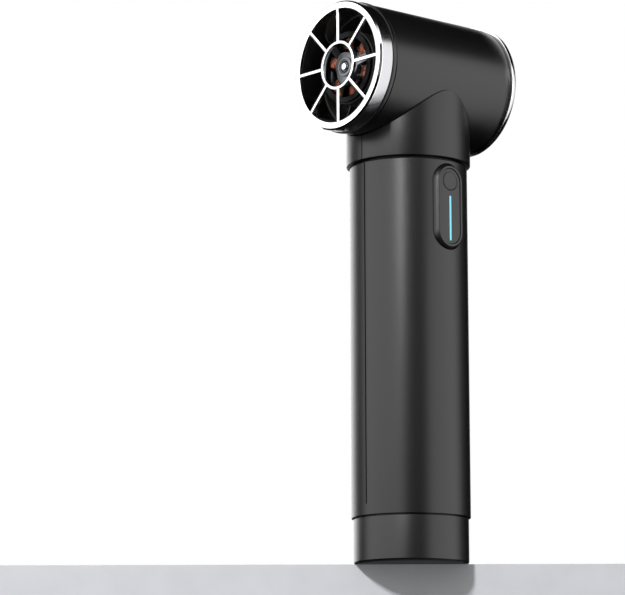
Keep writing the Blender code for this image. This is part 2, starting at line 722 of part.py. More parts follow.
def make_motor_frame(head):
    """One moulding, pressed into the liner: motor pod with its bearing seat, guide vanes and wire tunnel."""
    seat_inside = BEARING_POCKET
    seat_outside = BEARING_POCKET + BRACKET_BOSS_WALL
    seat_start = POD_END - BEARING_WIDTH - 2 * FIT_GAP
    frame = turned(
        "motor_frame",
        [
            (POD_START, POD_RADIUS),
            (POD_START, POD_BORE),
            (POD_WALL_START, POD_BORE),
            (POD_WALL_START, seat_outside),
            (seat_start, seat_outside),
            (seat_start, seat_inside),
            (POD_END, seat_inside),
            (POD_END, POD_RADIUS),
        ],
        INNER_FACETS,
        dark_nylon(),
        head,
    )
    vanes = bmesh.new()
    vane_end = POD_END - FIT_GAP
    swirl = math.radians(VANE_SWIRL_DEG)
    for i in range(VANE_COUNT):
        start_angle = math.pi / 2 + 2 * math.pi * (i + 0.5) / VANE_COUNT
        stations = []
        for radius in (POD_RADIUS - POD_WALL / 2, (POD_RADIUS + DUCT_RADIUS) / 2, DUCT_RADIUS + DUCT_WALL / 2):
            sweep = VANE_LENGTH * math.tan(swirl) / radius / 2

            def camber(share, start_angle=start_angle, sweep=sweep):
                return start_angle + sweep * share**2, vane_end - VANE_LENGTH * (1 - share)

            stations.append((radius, VANE_THICKNESS, camber))
        add_blade(vanes, stations, 4)
    vane_set = add_object("guide vanes", vanes, None, head)
    tunnel_low = TUNNEL_AXIAL - TUNNEL_DEPTH / 2
    tunnel = box(
        "wire tunnel",
        (-TUNNEL_WIDTH / 2, tunnel_low, HEAD_AXIS - DUCT_OUTSIDE),
        (TUNNEL_WIDTH / 2, tunnel_low + TUNNEL_DEPTH, HEAD_AXIS - POD_RADIUS + POD_WALL / 2),
    )
    inside_liner = rod("room in the liner", POD_START - MM, POD_END + MM, DUCT_RADIUS - VANE_FIT, INNER_FACETS)
    inside_liner.parent = head
    join(frame, vane_set)
    join(frame, tunnel)
    keep(frame, inside_liner)
    cut(frame, tunnel_bore())


def make_mount_rings(head):
    """Rubber rings that hold the duct in the barrel and keep the motor's noise from it."""
    inner = DUCT_OUTSIDE + 0.75 * FIT_GAP
    for name, start in (
        ("mount_ring_outlet", DUCT_OUTLET_END + FIT_GAP),
        ("mount_ring_intake", DUCT_INTAKE_END - MOUNT_RING_WIDTH - FIT_GAP),
    ):
        ring(name, start, start + MOUNT_RING_WIDTH, inner, inner + MOUNT_RING_THICKNESS, INNER_FACETS, rubber(), head)


def slot_outline(slot_angle):
    """The polygon of one winding slot, between two teeth with parallel sides, and open to the bore."""
    half_pitch = math.pi / TOOTH_COUNT
    shoe_end = STATOR_BORE / 2 + TOOTH_SHOE
    yoke = STATOR_DIAMETER / 2 - YOKE_THICKNESS

    def at(radius, offset):
        angle = slot_angle + offset
        return radius * math.cos(angle), radius * math.sin(angle)

    half_inner = half_pitch - math.asin(TOOTH_WIDTH / 2 / shoe_end)
    half_outer = half_pitch - math.asin(TOOTH_WIDTH / 2 / yoke)
    mouth = math.asin(SLOT_MOUTH / 2 / shoe_end)
    mouth_start = STATOR_BORE / 2 - MM
    points = [at(mouth_start, mouth), at(shoe_end, mouth), at(shoe_end, half_inner)]
    points += [at(yoke, half_outer * (1 - i)) for i in (0, 2 / 3, 4 / 3, 2)]
    points += [at(shoe_end, -half_inner), at(shoe_end, -mouth), at(mouth_start, -mouth)]
    return points


def laminated(name, low, high, look, head):
    """A ring with teeth and slots, which is the stator's core and, thinner, each of its insulators."""
    core = ring(name, low, high, STATOR_BORE / 2, STATOR_DIAMETER / 2, CORE_FACETS, look, head)
    slots = bmesh.new()
    for i in range(TOOTH_COUNT):
        angle = math.radians(-FIRST_COIL_DEG) + math.pi * (2 * i + 1) / TOOTH_COUNT
        add_prism(slots, slot_outline(angle), low - MM, high + MM)
    cut(core, add_object(name + " slots", slots, None, head))
    return core


def make_stator(head):
    laminated("stator_core", STATOR_START, STATOR_END, material("silicon steel", "#55575A", 1.0, 0.4), head)
    look = material("grey insulator", "#6E7074", 0.0, 0.5)
    outlet_side = STATOR_MIDDLE - INSULATOR_REACH
    laminated("winding_insulator_outlet", outlet_side, outlet_side + INSULATOR_THICKNESS, look, head)
    intake_side = STATOR_MIDDLE + INSULATOR_REACH
    laminated("winding_insulator_intake", intake_side - INSULATOR_THICKNESS, intake_side, look, head)


def coil_turn(half_width, half_length, last):
    """Points (across, axial) of one turn round a tooth, from its left side's foot over its right side's foot.

    A turn ends where the next one starts. The last one ends beside its right side, on its way to the next tooth.
    """
    side = half_length - COIL_CORNER
    end = half_width - COIL_CORNER
    points = [(-half_width, -side), (-half_width, side), (-end, half_length), (end, half_length)]
    points += [(half_width, side), (half_width, -side)]
    if last:
        points.append((half_width + COIL_CORNER, -half_length))
    else:
        points += [(end, -half_length), (-end, -half_length)]
    return points


def winding_route():
    """The winding's one unbroken wire: outwards along one tooth, inwards along the next, and so on round the stator."""
    half_width = TOOTH_WIDTH / 2 + COIL_TOOTH_GAP + WIRE_DIAMETER / 2
    route = []
    for tooth in range(TOOTH_COUNT):
        angle = math.radians(-FIRST_COIL_DEG) + 2 * math.pi * tooth / TOOTH_COUNT
        out = Vector((math.cos(angle), math.sin(angle), 0))
        sideways = Vector((-math.sin(angle), math.cos(angle), 0))
        step = 1 if tooth % 2 == 0 else -1
        layers = list(range(COIL_LOOPS))[::step]
        for layer in layers:
            last = layer == layers[-1]
            turn = coil_turn(half_width + layer * COIL_FAN, COIL_REACH, last)
            if layer == layers[0] and tooth > 0:
                turn.insert(0, (turn[0][0] - COIL_CORNER, -COIL_REACH))
            elif layer == layers[0]:
                turn[0] = (turn[0][0], -COIL_REACH)
            if last and tooth == TOOTH_COUNT - 1:
                turn = turn[:-2] + [(turn[-2][0], -COIL_REACH)]
            shares = [0.0] * len(turn)
            if not last:
                shares[-2:] = [0.3, 0.7]  # the step to the next turn's radius is made across the foot
            for (across, axial), share in zip(turn, shares):
                radius = COIL_START + (layer + step * share) * COIL_PITCH
                route.append(out * radius + sideways * across + Vector((0, 0, STATOR_MIDDLE + axial)))
    return route


def least_gap(route, diameter):
    """The smallest distance between the wire's surface and itself, on points every 0.3 mm of its length."""
    points = [(0.0, route[0])]
    for here, there in zip(route, route[1:]):
        length = (there - here).length
        steps = max(1, math.ceil(length / (0.3 * MM)))
        start = points[-1][0]
        points += [(start + length * i / steps, here.lerp(there, i / steps)) for i in range(1, steps + 1)]
    apart = 5 * diameter
    least = math.inf
    for i, (place, here) in enumerate(points):
        for other_place, there in points[i + 1 :]:
            if other_place - place > apart:
                least = min(least, (here - there).length)
    return least - diameter


def make_winding(head):
    route = winding_route()
    curve = bpy.data.curves.new("stator_winding", "CURVE")
    curve.dimensions = "3D"
    curve.bevel_depth = WIRE_DIAMETER / 2
    curve.bevel_resolution = 1
    curve.use_fill_caps = True
    curve.materials.append(material("enamelled copper", "#B4623A", 1.0, 0.3))
    spline = curve.splines.new("POLY")
    spline.points.add(len(route) - 1)
    for target, point in zip(spline.points, route):
        target.co = (*point, 1.0)
    made = bpy.data.objects.new("stator_winding", curve)
    bpy.context.scene.collection.objects.link(made)
    made.parent = head
    print(f"stator_winding: least gap to itself {least_gap(route, WIRE_DIAMETER) / MM:.2f} mm")


def make_end_bracket(head):
    """The grey bracket across the pod's open end: bearing boss, hub plate, arms and rim."""
    start = BRACKET_START
    end = start + BRACKET_THICKNESS
    rim_outer = POD_RADIUS - FIT_GAP
    rim_inner = rim_outer - BRACKET_RIM_WIDTH
    look = material("grey die casting", "#8C8E92", 0.6, 0.45)
    bracket = ring("motor_end_bracket", start, end, rim_inner, rim_outer, INNER_FACETS, look, head)
    boss_radius = BEARING_POCKET + BRACKET_BOSS_WALL
    boss_end = BRACKET_BOSS_START + BEARING_WIDTH + 2 * FIT_GAP
    boss = turned(
        "bracket boss",
        [
            (BRACKET_BOSS_START, BEARING_POCKET),
            (boss_end, BEARING_POCKET),
            (boss_end, boss_radius),
            (end - FACE_STEP, boss_radius),
            (end - FACE_STEP, BRACKET_HUB_DIAMETER / 2),
            (start + FACE_STEP, BRACKET_HUB_DIAMETER / 2),
            (start + FACE_STEP, boss_radius),
            (BRACKET_BOSS_START, boss_radius),
        ],
        SMALL_FACETS,
    )
    boss.parent = head
    arms = bmesh.new()
    arm_start = (boss_radius + BRACKET_HUB_DIAMETER / 2) / 2
    arm_end = (rim_inner + rim_outer) / 2
    for i in range(BRACKET_ARM_COUNT):
        angle = math.radians(-BRACKET_FIRST_ARM_DEG) + 2 * math.pi * i / BRACKET_ARM_COUNT
        bmesh.ops.create_cube(
            arms,
            size=1.0,
            matrix=Matrix.Rotation(angle, 4, "Z")
            @ Matrix.Translation(((arm_start + arm_end) / 2, 0, (start + end) / 2))
            @ Matrix.Diagonal((arm_end - arm_start, BRACKET_ARM_WIDTH, BRACKET_THICKNESS - 4 * FACE_STEP, 1)),
        )
    arm_set = add_object("bracket arms", arms, None, head)
    join(bracket, arm_set)
    join(bracket, boss)


def make_bearings(head, rotor):
    outer = BEARING_RADIUS
    inner_bore = SHAFT_DIAMETER / 2 + SHAFT_FIT
    for side, start in (
        ("outlet", BRACKET_BOSS_START + FIT_GAP),
        ("intake", POD_END - BEARING_WIDTH - FIT_GAP),
    ):
        end = start + BEARING_WIDTH
        inner = inner_bore + RACE_WALL
        ring("bearing_outer_" + side, start, end, outer - RACE_WALL, outer, TINY_FACETS, steel(), head)
        ring("bearing_inner_" + side, start, end, inner_bore, inner, TINY_FACETS, steel(), rotor)


def make_rotor(rotor):
    bore = SHAFT_DIAMETER / 2 + SHAFT_FIT
    shaft_start = -OUTLET_REACH + SHAFT_SETBACK
    shaft_end = HUB_END + SPINNER_BORE_DEPTH - FIT_GAP
    edge = SHAFT_DIAMETER / 10
    turned(
        "rotor_shaft",
        [
            (shaft_start, 0.0),
            (shaft_end, 0.0),
            (shaft_end, SHAFT_DIAMETER / 2),
            (shaft_start + edge, SHAFT_DIAMETER / 2),
            (shaft_start, SHAFT_DIAMETER / 2 - edge),
        ],
        SMALL_FACETS,
        steel(),
        rotor,
    )
    ring(
        "rotor_magnet",
        STATOR_START,
        STATOR_END,
        bore,
        MAGNET_RADIUS,
        SMALL_FACETS,
        material("nickelled magnet", "#9A9B9D", 1.0, 0.3),
        rotor,
    )
    nose = HUB_NOSE_DIAMETER / 2
    base = HUB_END + FIT_GAP
    outline = [(base, bore), (base, nose)]
    steps = 5
    for i in range(1, steps):
        angle = math.pi / 2 * i / steps
        outline.append((base + SPINNER_LENGTH * math.sin(angle), nose * math.cos(angle)))
    outline += [(base + SPINNER_LENGTH, 0.0), (HUB_END + SPINNER_BORE_DEPTH, 0.0), (HUB_END + SPINNER_BORE_DEPTH, bore)]
    turned("spinner_nut", outline, SMALL_FACETS, material("anodised aluminium", "#2A2C30", 1.0, 0.35), rotor)


def hub_radius(share):
    """The impeller hub's outside, from its back at 0 to its nose at 1."""
    nose = HUB_NOSE_DIAMETER / 2
    back = HUB_DIAMETER / 2
    shoulder = 0.3
    if share <= shoulder:
        return back
    fall = (share - shoulder) / (1 - shoulder)
    return nose + (back - nose) * math.cos(math.pi / 2 * fall) ** 0.9


def make_impeller(rotor):
    """Hollow-backed hub with twisted blades that sweep the duct with the running gap."""
    steps = 5
    bore = SHAFT_DIAMETER / 2 + SHAFT_FIT
    boss = bore + HUB_SHELL
    recess = HUB_START + HUB_RECESS_DEPTH
    outline = [(HUB_START, bore), (HUB_START, boss), (recess, boss), (recess, HUB_DIAMETER / 2 - HUB_SHELL)]
    outline += [(HUB_START, HUB_DIAMETER / 2 - HUB_SHELL)]
    for i in range(steps + 1):
        share = i / steps
        outline.append((HUB_START + HUB_LENGTH * share, hub_radius(share)))
    outline.append((HUB_END, bore))
    impeller = turned("impeller", outline, INNER_FACETS, material("cast aluminium", "#A9ABAE", 1.0, 0.35), rotor)
    blades = bmesh.new()
    root = HUB_DIAMETER / 2 - HUB_SHELL * 0.7
    tip = DUCT_RADIUS - RUNNING_GAP
    middle = HUB_START + 0.8 * MM + BLADE_TIP_LENGTH / 2
    stations_across = 3
    for i in range(BLADE_COUNT):
        stations = []
        for k in range(stations_across):
            share_out = k / (stations_across - 1)
            radius = root + (tip - root) * share_out
            length = BLADE_ROOT_LENGTH + (BLADE_TIP_LENGTH - BLADE_ROOT_LENGTH) * share_out
            slant = math.radians(BLADE_ROOT_ANGLE_DEG + (BLADE_TIP_ANGLE_DEG - BLADE_ROOT_ANGLE_DEG) * share_out)
            thickness = BLADE_ROOT_THICKNESS + (BLADE_TIP_THICKNESS - BLADE_ROOT_THICKNESS) * share_out
            sweep = length * math.tan(slant) / radius

            def camber(share, start=2 * math.pi * i / BLADE_COUNT, sweep=sweep, length=length):
                bend = share - 0.5 + 0.18 * math.sin(math.pi * share)
                return start + sweep * bend, middle + length * (share - 0.5)

            stations.append((radius, thickness, camber))
        add_blade(blades, stations, 5)
    join(impeller, add_object("impeller blades", blades, None, rotor))


# ---- neck ----


def make_neck():
    """Two half shells, parted in the plane that holds both axes. Their top edges follow the barrel's side."""
    inner = NECK_RADIUS - NECK_WALL
    spigot_inner = SPIGOT_RADIUS - SPIGOT_WALL
    outline = [
        (SPIGOT_BOTTOM, spigot_inner),
        (NECK_BOTTOM + SHOULDER_THICKNESS, spigot_inner),
        (NECK_BOTTOM + SHOULDER_THICKNESS, inner),
        (HEAD_AXIS, inner),
        (HEAD_AXIS, NECK_RADIUS),
        (NECK_BOTTOM + NECK_EDGE, NECK_RADIUS),
        (NECK_BOTTOM, NECK_RADIUS - NECK_EDGE),
        (NECK_BOTTOM, SPIGOT_RADIUS),
        (SPIGOT_BOTTOM, SPIGOT_RADIUS),
    ]
    reach = NECK_RADIUS + MM
    half_gap = NECK_PARTING / 2
    seat = BARREL_RADIUS + SADDLE_GAP
    for side, low, high in (("left", -reach, -half_gap), ("right", half_gap, reach)):
        shell = turned("neck_shell_" + side, outline, SHELL_FACETS, black_shell())
        half = box("neck half " + side, (low, -reach, SPIGOT_BOTTOM - MM), (high, reach, HEAD_AXIS + MM))
        keep(shell, half)
        saddle = rod("neck saddle " + side, -reach, reach, seat, SHELL_FACETS)
        saddle.location = (0, 0, HEAD_AXIS)
        saddle.rotation_euler = HEAD_TURN
        cut(shell, saddle)
        if side == "right":
            relief_side = PANEL_WIDTH / 2 + PANEL_FLARE + 2 * FIT_GAP
            relief_top = PANEL_CENTRE + PANEL_HEIGHT / 2 + PANEL_FLARE + 2 * FIT_GAP
            relief_start = SWITCH_BOARD_FACE - BOARD_THICKNESS - FIT_GAP
            relief = box(
                "neck relief", (relief_start, -relief_side, SPIGOT_BOTTOM - MM), (reach, relief_side, relief_top)
            )
            cut(shell, relief)


def make_neck_seal():
    low = SLEEVE_TOP - SLEEVE_REBATE_DEPTH + FIT_GAP
    top = NECK_BOTTOM - FIT_GAP
    high = min(low + SEAL_HEIGHT, top)
    inner = SPIGOT_RADIUS + FIT_GAP
    ring("neck_seal_ring", low, high, inner, SEAL_RADIUS - FIT_GAP, INNER_FACETS, rubber())


# ---- handle ----


def make_handle_sleeve():
    """The long tube, with the panel's opening, a rebate for the seal and the groove that continues the parting line."""
    sleeve = turned(
        "handle_sleeve",
        [
            (SLEEVE_BOTTOM, SLEEVE_BORE),
            (SLEEVE_TOP - SLEEVE_REBATE_DEPTH, SLEEVE_BORE),
            (SLEEVE_TOP - SLEEVE_REBATE_DEPTH, SEAL_RADIUS),
            (SLEEVE_TOP, SEAL_RADIUS),
            (SLEEVE_TOP, SLEEVE_RADIUS - SLEEVE_EDGE),
            (SLEEVE_TOP - SLEEVE_EDGE, SLEEVE_RADIUS),
            (SLEEVE_BOTTOM + SLEEVE_EDGE, SLEEVE_RADIUS),
            (SLEEVE_BOTTOM, SLEEVE_RADIUS - SLEEVE_EDGE),
        ],
        SHELL_FACETS,
        black_shell(),
    )
    groove = box(
        "sleeve groove",
        (-SEAM_GROOVE_WIDTH / 2, -SLEEVE_RADIUS - MM, SLEEVE_BOTTOM + SEAM_GROOVE_END),
        (SEAM_GROOVE_WIDTH / 2, -SLEEVE_RADIUS + SEAM_GROOVE_DEPTH, SLEEVE_TOP + MM),
    )
    cut(sleeve, groove)
    radius = PANEL_WIDTH / 2 + PANEL_FLARE + FIT_GAP
    window = prism("panel opening", pill(radius, PANEL_HALF_RUN, 12), 0.0, 2 * SLEEVE_RADIUS)
    window.location = (0, 0, PANEL_CENTRE)
    window.rotation_euler = PANEL_TURN
    cut(sleeve, window)


def make_base_cap():
    """The cap that closes the handle: a cup with a spigot, a floor with the foot's recess, and two board posts."""
    inner = CAP_RADIUS - CAP_WALL
    spigot_inner = min(inner, SPIGOT_RADIUS - CAP_WALL * 0.8)
    recess = CAP_RADIUS - FOOT_INSET
    floor_top = CAP_BOTTOM + CAP_FLOOR
    cap = turned(
        "base_cap",
        [
            (CAP_BOTTOM + FOOT_RECESS, 0.0),
            (CAP_BOTTOM + FOOT_RECESS, recess),
            (CAP_BOTTOM, recess),
            (CAP_BOTTOM, CAP_RADIUS - CAP_EDGE),
            (CAP_BOTTOM + CAP_EDGE, CAP_RADIUS),
            (CAP_TOP, CAP_RADIUS),
            (CAP_TOP, SPIGOT_RADIUS),
            (CAP_SPIGOT_TOP, SPIGOT_RADIUS),
            (CAP_SPIGOT_TOP, spigot_inner),
            (floor_top, spigot_inner),
            (floor_top, 0.0),
        ],
        SHELL_FACETS,
        black_shell(),
    )
    for i, (x, y) in enumerate(charge_post_places()):
        post = rod(
            f"board post {i}", floor_top - MM, floor_top + CHARGE_BOARD_POST, CHARGE_POST_DIAMETER / 2, TINY_FACETS
        )
        post.location = (x, y, 0)
        join(cap, post)
    for side in (-1, 1):
        head_radius = SCREW_HEAD_DIAMETER / 2 + FIT_GAP
        head_top = screw_head_pocket()
        shank = SCREW_DIAMETER / 2 + FIT_GAP
        hole = turned(
            "cap screw hole",
            [
                (CAP_BOTTOM - MM, 0.0),
                (floor_top + MM, 0.0),
                (floor_top + MM, shank),
                (head_top, shank),
                (head_top, head_radius),
                (CAP_BOTTOM - MM, head_radius),
            ],
            TINY_FACETS,
        )
        hole.location = (side * SCREW_OFFSET, 0, 0)
        cut(cap, hole)
    cut(cap, socket_window("cap socket window", FIT_GAP, CAP_BOTTOM - MM, floor_top + MM))


def screw_head_pocket():
    """The height at which the pockets of the screw heads end in the cap's floor."""
    return CAP_BOTTOM + FOOT_RECESS + SCREW_HEAD_HEIGHT + FIT_GAP


def charge_post_places():
    return [(CHARGE_POST_OFFSET, -CHARGE_POST_OFFSET), (-CHARGE_POST_OFFSET, -CHARGE_POST_OFFSET)]


def socket_outline(margin):
    radius = SOCKET_HEIGHT / 2 + margin
    half_run = (SOCKET_WIDTH - SOCKET_HEIGHT) / 2
    return [(y, x + SOCKET_OFFSET) for x, y in pill(radius, half_run, 6)]


def socket_window(name, margin, low, high):
    return prism(name, socket_outline(margin), low, high)


def make_foot_pad():
    radius = CAP_RADIUS - FOOT_INSET - FIT_GAP
    top = CAP_BOTTOM + FOOT_RECESS - FIT_GAP
    pad = turned(
        "foot_pad",
        [(0.0, 0.0), (0.0, radius - FOOT_EDGE), (FOOT_EDGE, radius), (top, radius), (top, 0.0)],
        SHELL_FACETS,
        rubber(),
    )
    cut(pad, socket_window("pad socket window", SOCKET_MARGIN, -MM, top + MM))


def make_base_screws():
    head_top = screw_head_pocket() - FIT_GAP
    head_bottom = head_top - SCREW_HEAD_HEIGHT
    for i, side in enumerate((-1, 1)):
        screw = turned(
            f"base_screw_{i + 1}",
            [
                (head_bottom, 0.0),
                (head_bottom, SCREW_HEAD_DIAMETER / 2),
                (head_top, SCREW_HEAD_DIAMETER / 2),
                (head_top, SCREW_DIAMETER / 2),
                (head_top + SCREW_LENGTH, SCREW_DIAMETER / 2),
                (head_top + SCREW_LENGTH, 0.0),
            ],
            TINY_FACETS,
            steel(),
        )
        screw.location = (side * SCREW_OFFSET, 0, 0)
        socket = rod(f"screw recess {i}", head_bottom - MM, head_bottom + SCREW_HEAD_HEIGHT / 2, SCREW_DIAMETER / 2, 6)
        socket.location = screw.location
        cut(screw, socket)


def make_charging():
    """Board on the cap's posts, with the charging socket hanging from it, mouth down."""
    low = CHARGE_BOARD_BOTTOM
    board = rod("charge_board", low, low + BOARD_THICKNESS, CHARGE_BOARD_DIAMETER / 2, INNER_FACETS, circuit_board())
    boss = SCREW_DIAMETER / 2 + FIT_GAP + BOSS_WALL + FIT_GAP
    for side in (-1, 1):
        hole = rod("board boss hole", low - MM, low + BOARD_THICKNESS + MM, boss, TINY_FACETS)
        hole.location = (side * SCREW_OFFSET, 0, 0)
        cut(board, hole)
    top = low - FIT_GAP
    socket = prism("usb_socket", socket_outline(0.0), top - SOCKET_DEPTH, top, steel())
    mouth = socket_window("socket mouth", -SOCKET_SHELL, top - SOCKET_DEPTH - MM, top - SOCKET_SHELL * 3)
    half_width = SOCKET_TONGUE_WIDTH / 2
    half_height = SOCKET_TONGUE_HEIGHT / 2
    tongue = box(
        "socket tongue",
        (-half_width, SOCKET_OFFSET - half_height, top - SOCKET_DEPTH + MM / 2),
        (half_width, SOCKET_OFFSET + half_height, top - SOCKET_SHELL * 2),
    )
    cut(socket, mouth)
    join(socket, tongue)


def cell_places():
    half = CELL_PITCH / 2
    return [(half, half), (-half, half), (-half, -half), (half, -half)]


def make_cells():
    look = material("blue shrink wrap", "#1F4E8C", 0.0, 0.4)
    radius = CELL_DIAMETER / 2
    tip = CELL_TERMINAL_DIAMETER / 2
    edge = 0.3 * MM
    for i, (x, y) in enumerate(cell_places()):
        cell = turned(
            f"battery_cell_{i + 1}",
            [
                (0.0, 0.0),
                (0.0, radius),
                (CELL_LENGTH - CELL_TERMINAL_HEIGHT - edge, radius),
                (CELL_LENGTH - CELL_TERMINAL_HEIGHT, radius - edge),
                (CELL_LENGTH - CELL_TERMINAL_HEIGHT, tip),
                (CELL_LENGTH, tip),
                (CELL_LENGTH, 0.0),
            ],
            SMALL_FACETS,
            look,
        )
        cell.location = (x, y, CELL_BOTTOM)
        if i % 2:
            cell.rotation_euler = (math.pi, 0, 0)
            cell.location = (x, y, CELL_TOP)


def holder_disc(name, low):
    disc = rod(name, low, low + HOLDER_THICKNESS, SPIGOT_RADIUS, INNER_FACETS, dark_nylon())
    windows = bmesh.new()
    for x, y in cell_places() + [(0.0, 0.0)]:
        radius = HOLDER_WINDOW_DIAMETER / 2 if x else HOLDER_CORE_DIAMETER / 2
        bmesh.ops.create_cone(
            windows,
            cap_ends=True,
            segments=TINY_FACETS,
            radius1=radius,
            radius2=radius,
            depth=HOLDER_THICKNESS + 2 * MM,
            matrix=Matrix.Translation((x, y, low + HOLDER_THICKNESS / 2)),
        )
    cut(disc, add_object(name + " windows", windows))
    return disc


def make_cell_holders():
    """Nylon discs at both ends of the pack. The lower takes the cap's screws, the upper grips the controller."""
    lower = holder_disc("cell_holder_base", LOWER_HOLDER_BOTTOM)
    boss_bottom = CAP_BOTTOM + CAP_FLOOR + FIT_GAP
    hole = SCREW_DIAMETER / 2 + FIT_GAP
    for side in (-1, 1):
        boss = ring(
            "screw boss", boss_bottom, LOWER_HOLDER_BOTTOM + HOLDER_THICKNESS / 2, hole, hole + BOSS_WALL, TINY_FACETS
        )
        boss.location = (side * SCREW_OFFSET, 0, 0)
        join(lower, boss)
    upper = holder_disc("cell_holder_top", UPPER_HOLDER_BOTTOM)
    front = -CONTROLLER_OFFSET + BOARD_THICKNESS / 2 + FIT_GAP
    back = front - BOARD_THICKNESS - 2 * FIT_GAP
    wall = CONTROLLER_POST_WALL
    board_edge = CONTROLLER_WIDTH / 2
    for side in (-1, 1):
        near, far = side * (board_edge - CONTROLLER_POST_GRIP), side * (board_edge + FIT_GAP + wall)
        low_y, high_y = sorted((near, far))
        post = box(
            "board grip",
            (back - wall, low_y, UPPER_HOLDER_BOTTOM + HOLDER_THICKNESS / 2),
            (front + wall, high_y, UPPER_HOLDER_TOP + CONTROLLER_POST_HEIGHT),
        )
        slot_near, slot_far = side * (board_edge - CONTROLLER_POST_GRIP - MM), side * (board_edge + FIT_GAP)
        slot_low, slot_high = sorted((slot_near, slot_far))
        slot = box(
            "board grip slot",
            (back, slot_low, CONTROLLER_BOTTOM - FIT_GAP),
            (front, slot_high, UPPER_HOLDER_TOP + CONTROLLER_POST_HEIGHT + MM),
        )
        join(upper, post)
        cut(upper, slot)


def make_cell_links():
    """Nickel strips that join the cells: two below the pack and one above it, each with pads towards its cells."""
    look = material("nickel strip", "#B9B6AC", 1.0, 0.35)
    places = cell_places()
    pad_radius = HOLDER_WINDOW_DIAMETER / 2 - 4 * FIT_GAP
    lower_pad = CELL_BOTTOM - LOWER_LINK_BOTTOM - FIT_GAP
    upper_low = UPPER_HOLDER_TOP + FIT_GAP
    upper_pad = upper_low - CELL_TOP - FIT_GAP
    for name, (first, second), low, pad_low, pad_high in (
        ("cell_link_1", (0, 1), LOWER_LINK_BOTTOM, 0.5 * LINK_THICKNESS, lower_pad),
        ("cell_link_2", (2, 3), LOWER_LINK_BOTTOM, 0.5 * LINK_THICKNESS, lower_pad),
        ("cell_link_3", (1, 2), upper_low, -upper_pad, 0.5 * LINK_THICKNESS),
    ):
        (ax, ay), (bx, by) = places[first], places[second]
        middle = ((ax + bx) / 2, (ay + by) / 2)
        outline = pill(LINK_WIDTH / 2, CELL_PITCH / 2, 6)
        if abs(ax - bx) > abs(ay - by):
            outline = [(-y, x) for x, y in outline]
        outline = [(x + middle[0], y + middle[1]) for x, y in outline]
        strip = prism(name, outline, low, low + LINK_THICKNESS, look)
        for x, y in ((ax, ay), (bx, by)):
            pad = rod(name + " pad", low + pad_low, low + pad_high, min(pad_radius, LINK_WIDTH / 2 - FIT_GAP), 12)
            pad.location = (x, y, 0)
            join(strip, pad)


def make_controller():
    half = CONTROLLER_WIDTH / 2
    front = -CONTROLLER_OFFSET + BOARD_THICKNESS / 2
    box(
        "controller_board",
        (front - BOARD_THICKNESS, -half, CONTROLLER_BOTTOM),
        (front, half, CONTROLLER_TOP),
        circuit_board(),
    )
    radius = CAPACITOR_DIAMETER / 2
    low = CONTROLLER_BOTTOM + CAPACITOR_HEIGHT
    edge = 0.5 * MM
    capacitor = turned(
        "capacitor",
        [
            (low, 0.0),
            (low, radius - edge),
            (low + edge, radius),
            (low + CAPACITOR_LENGTH - edge, radius),
            (low + CAPACITOR_LENGTH, radius - edge),
            (low + CAPACITOR_LENGTH, 0.0),
        ],
        SMALL_FACETS,
        material("capacitor wrap", "#20242C", 0.0, 0.4),
    )
    capacitor.location = (front + FIT_GAP + radius, -half / 2, 0)


# ---- control panel ----


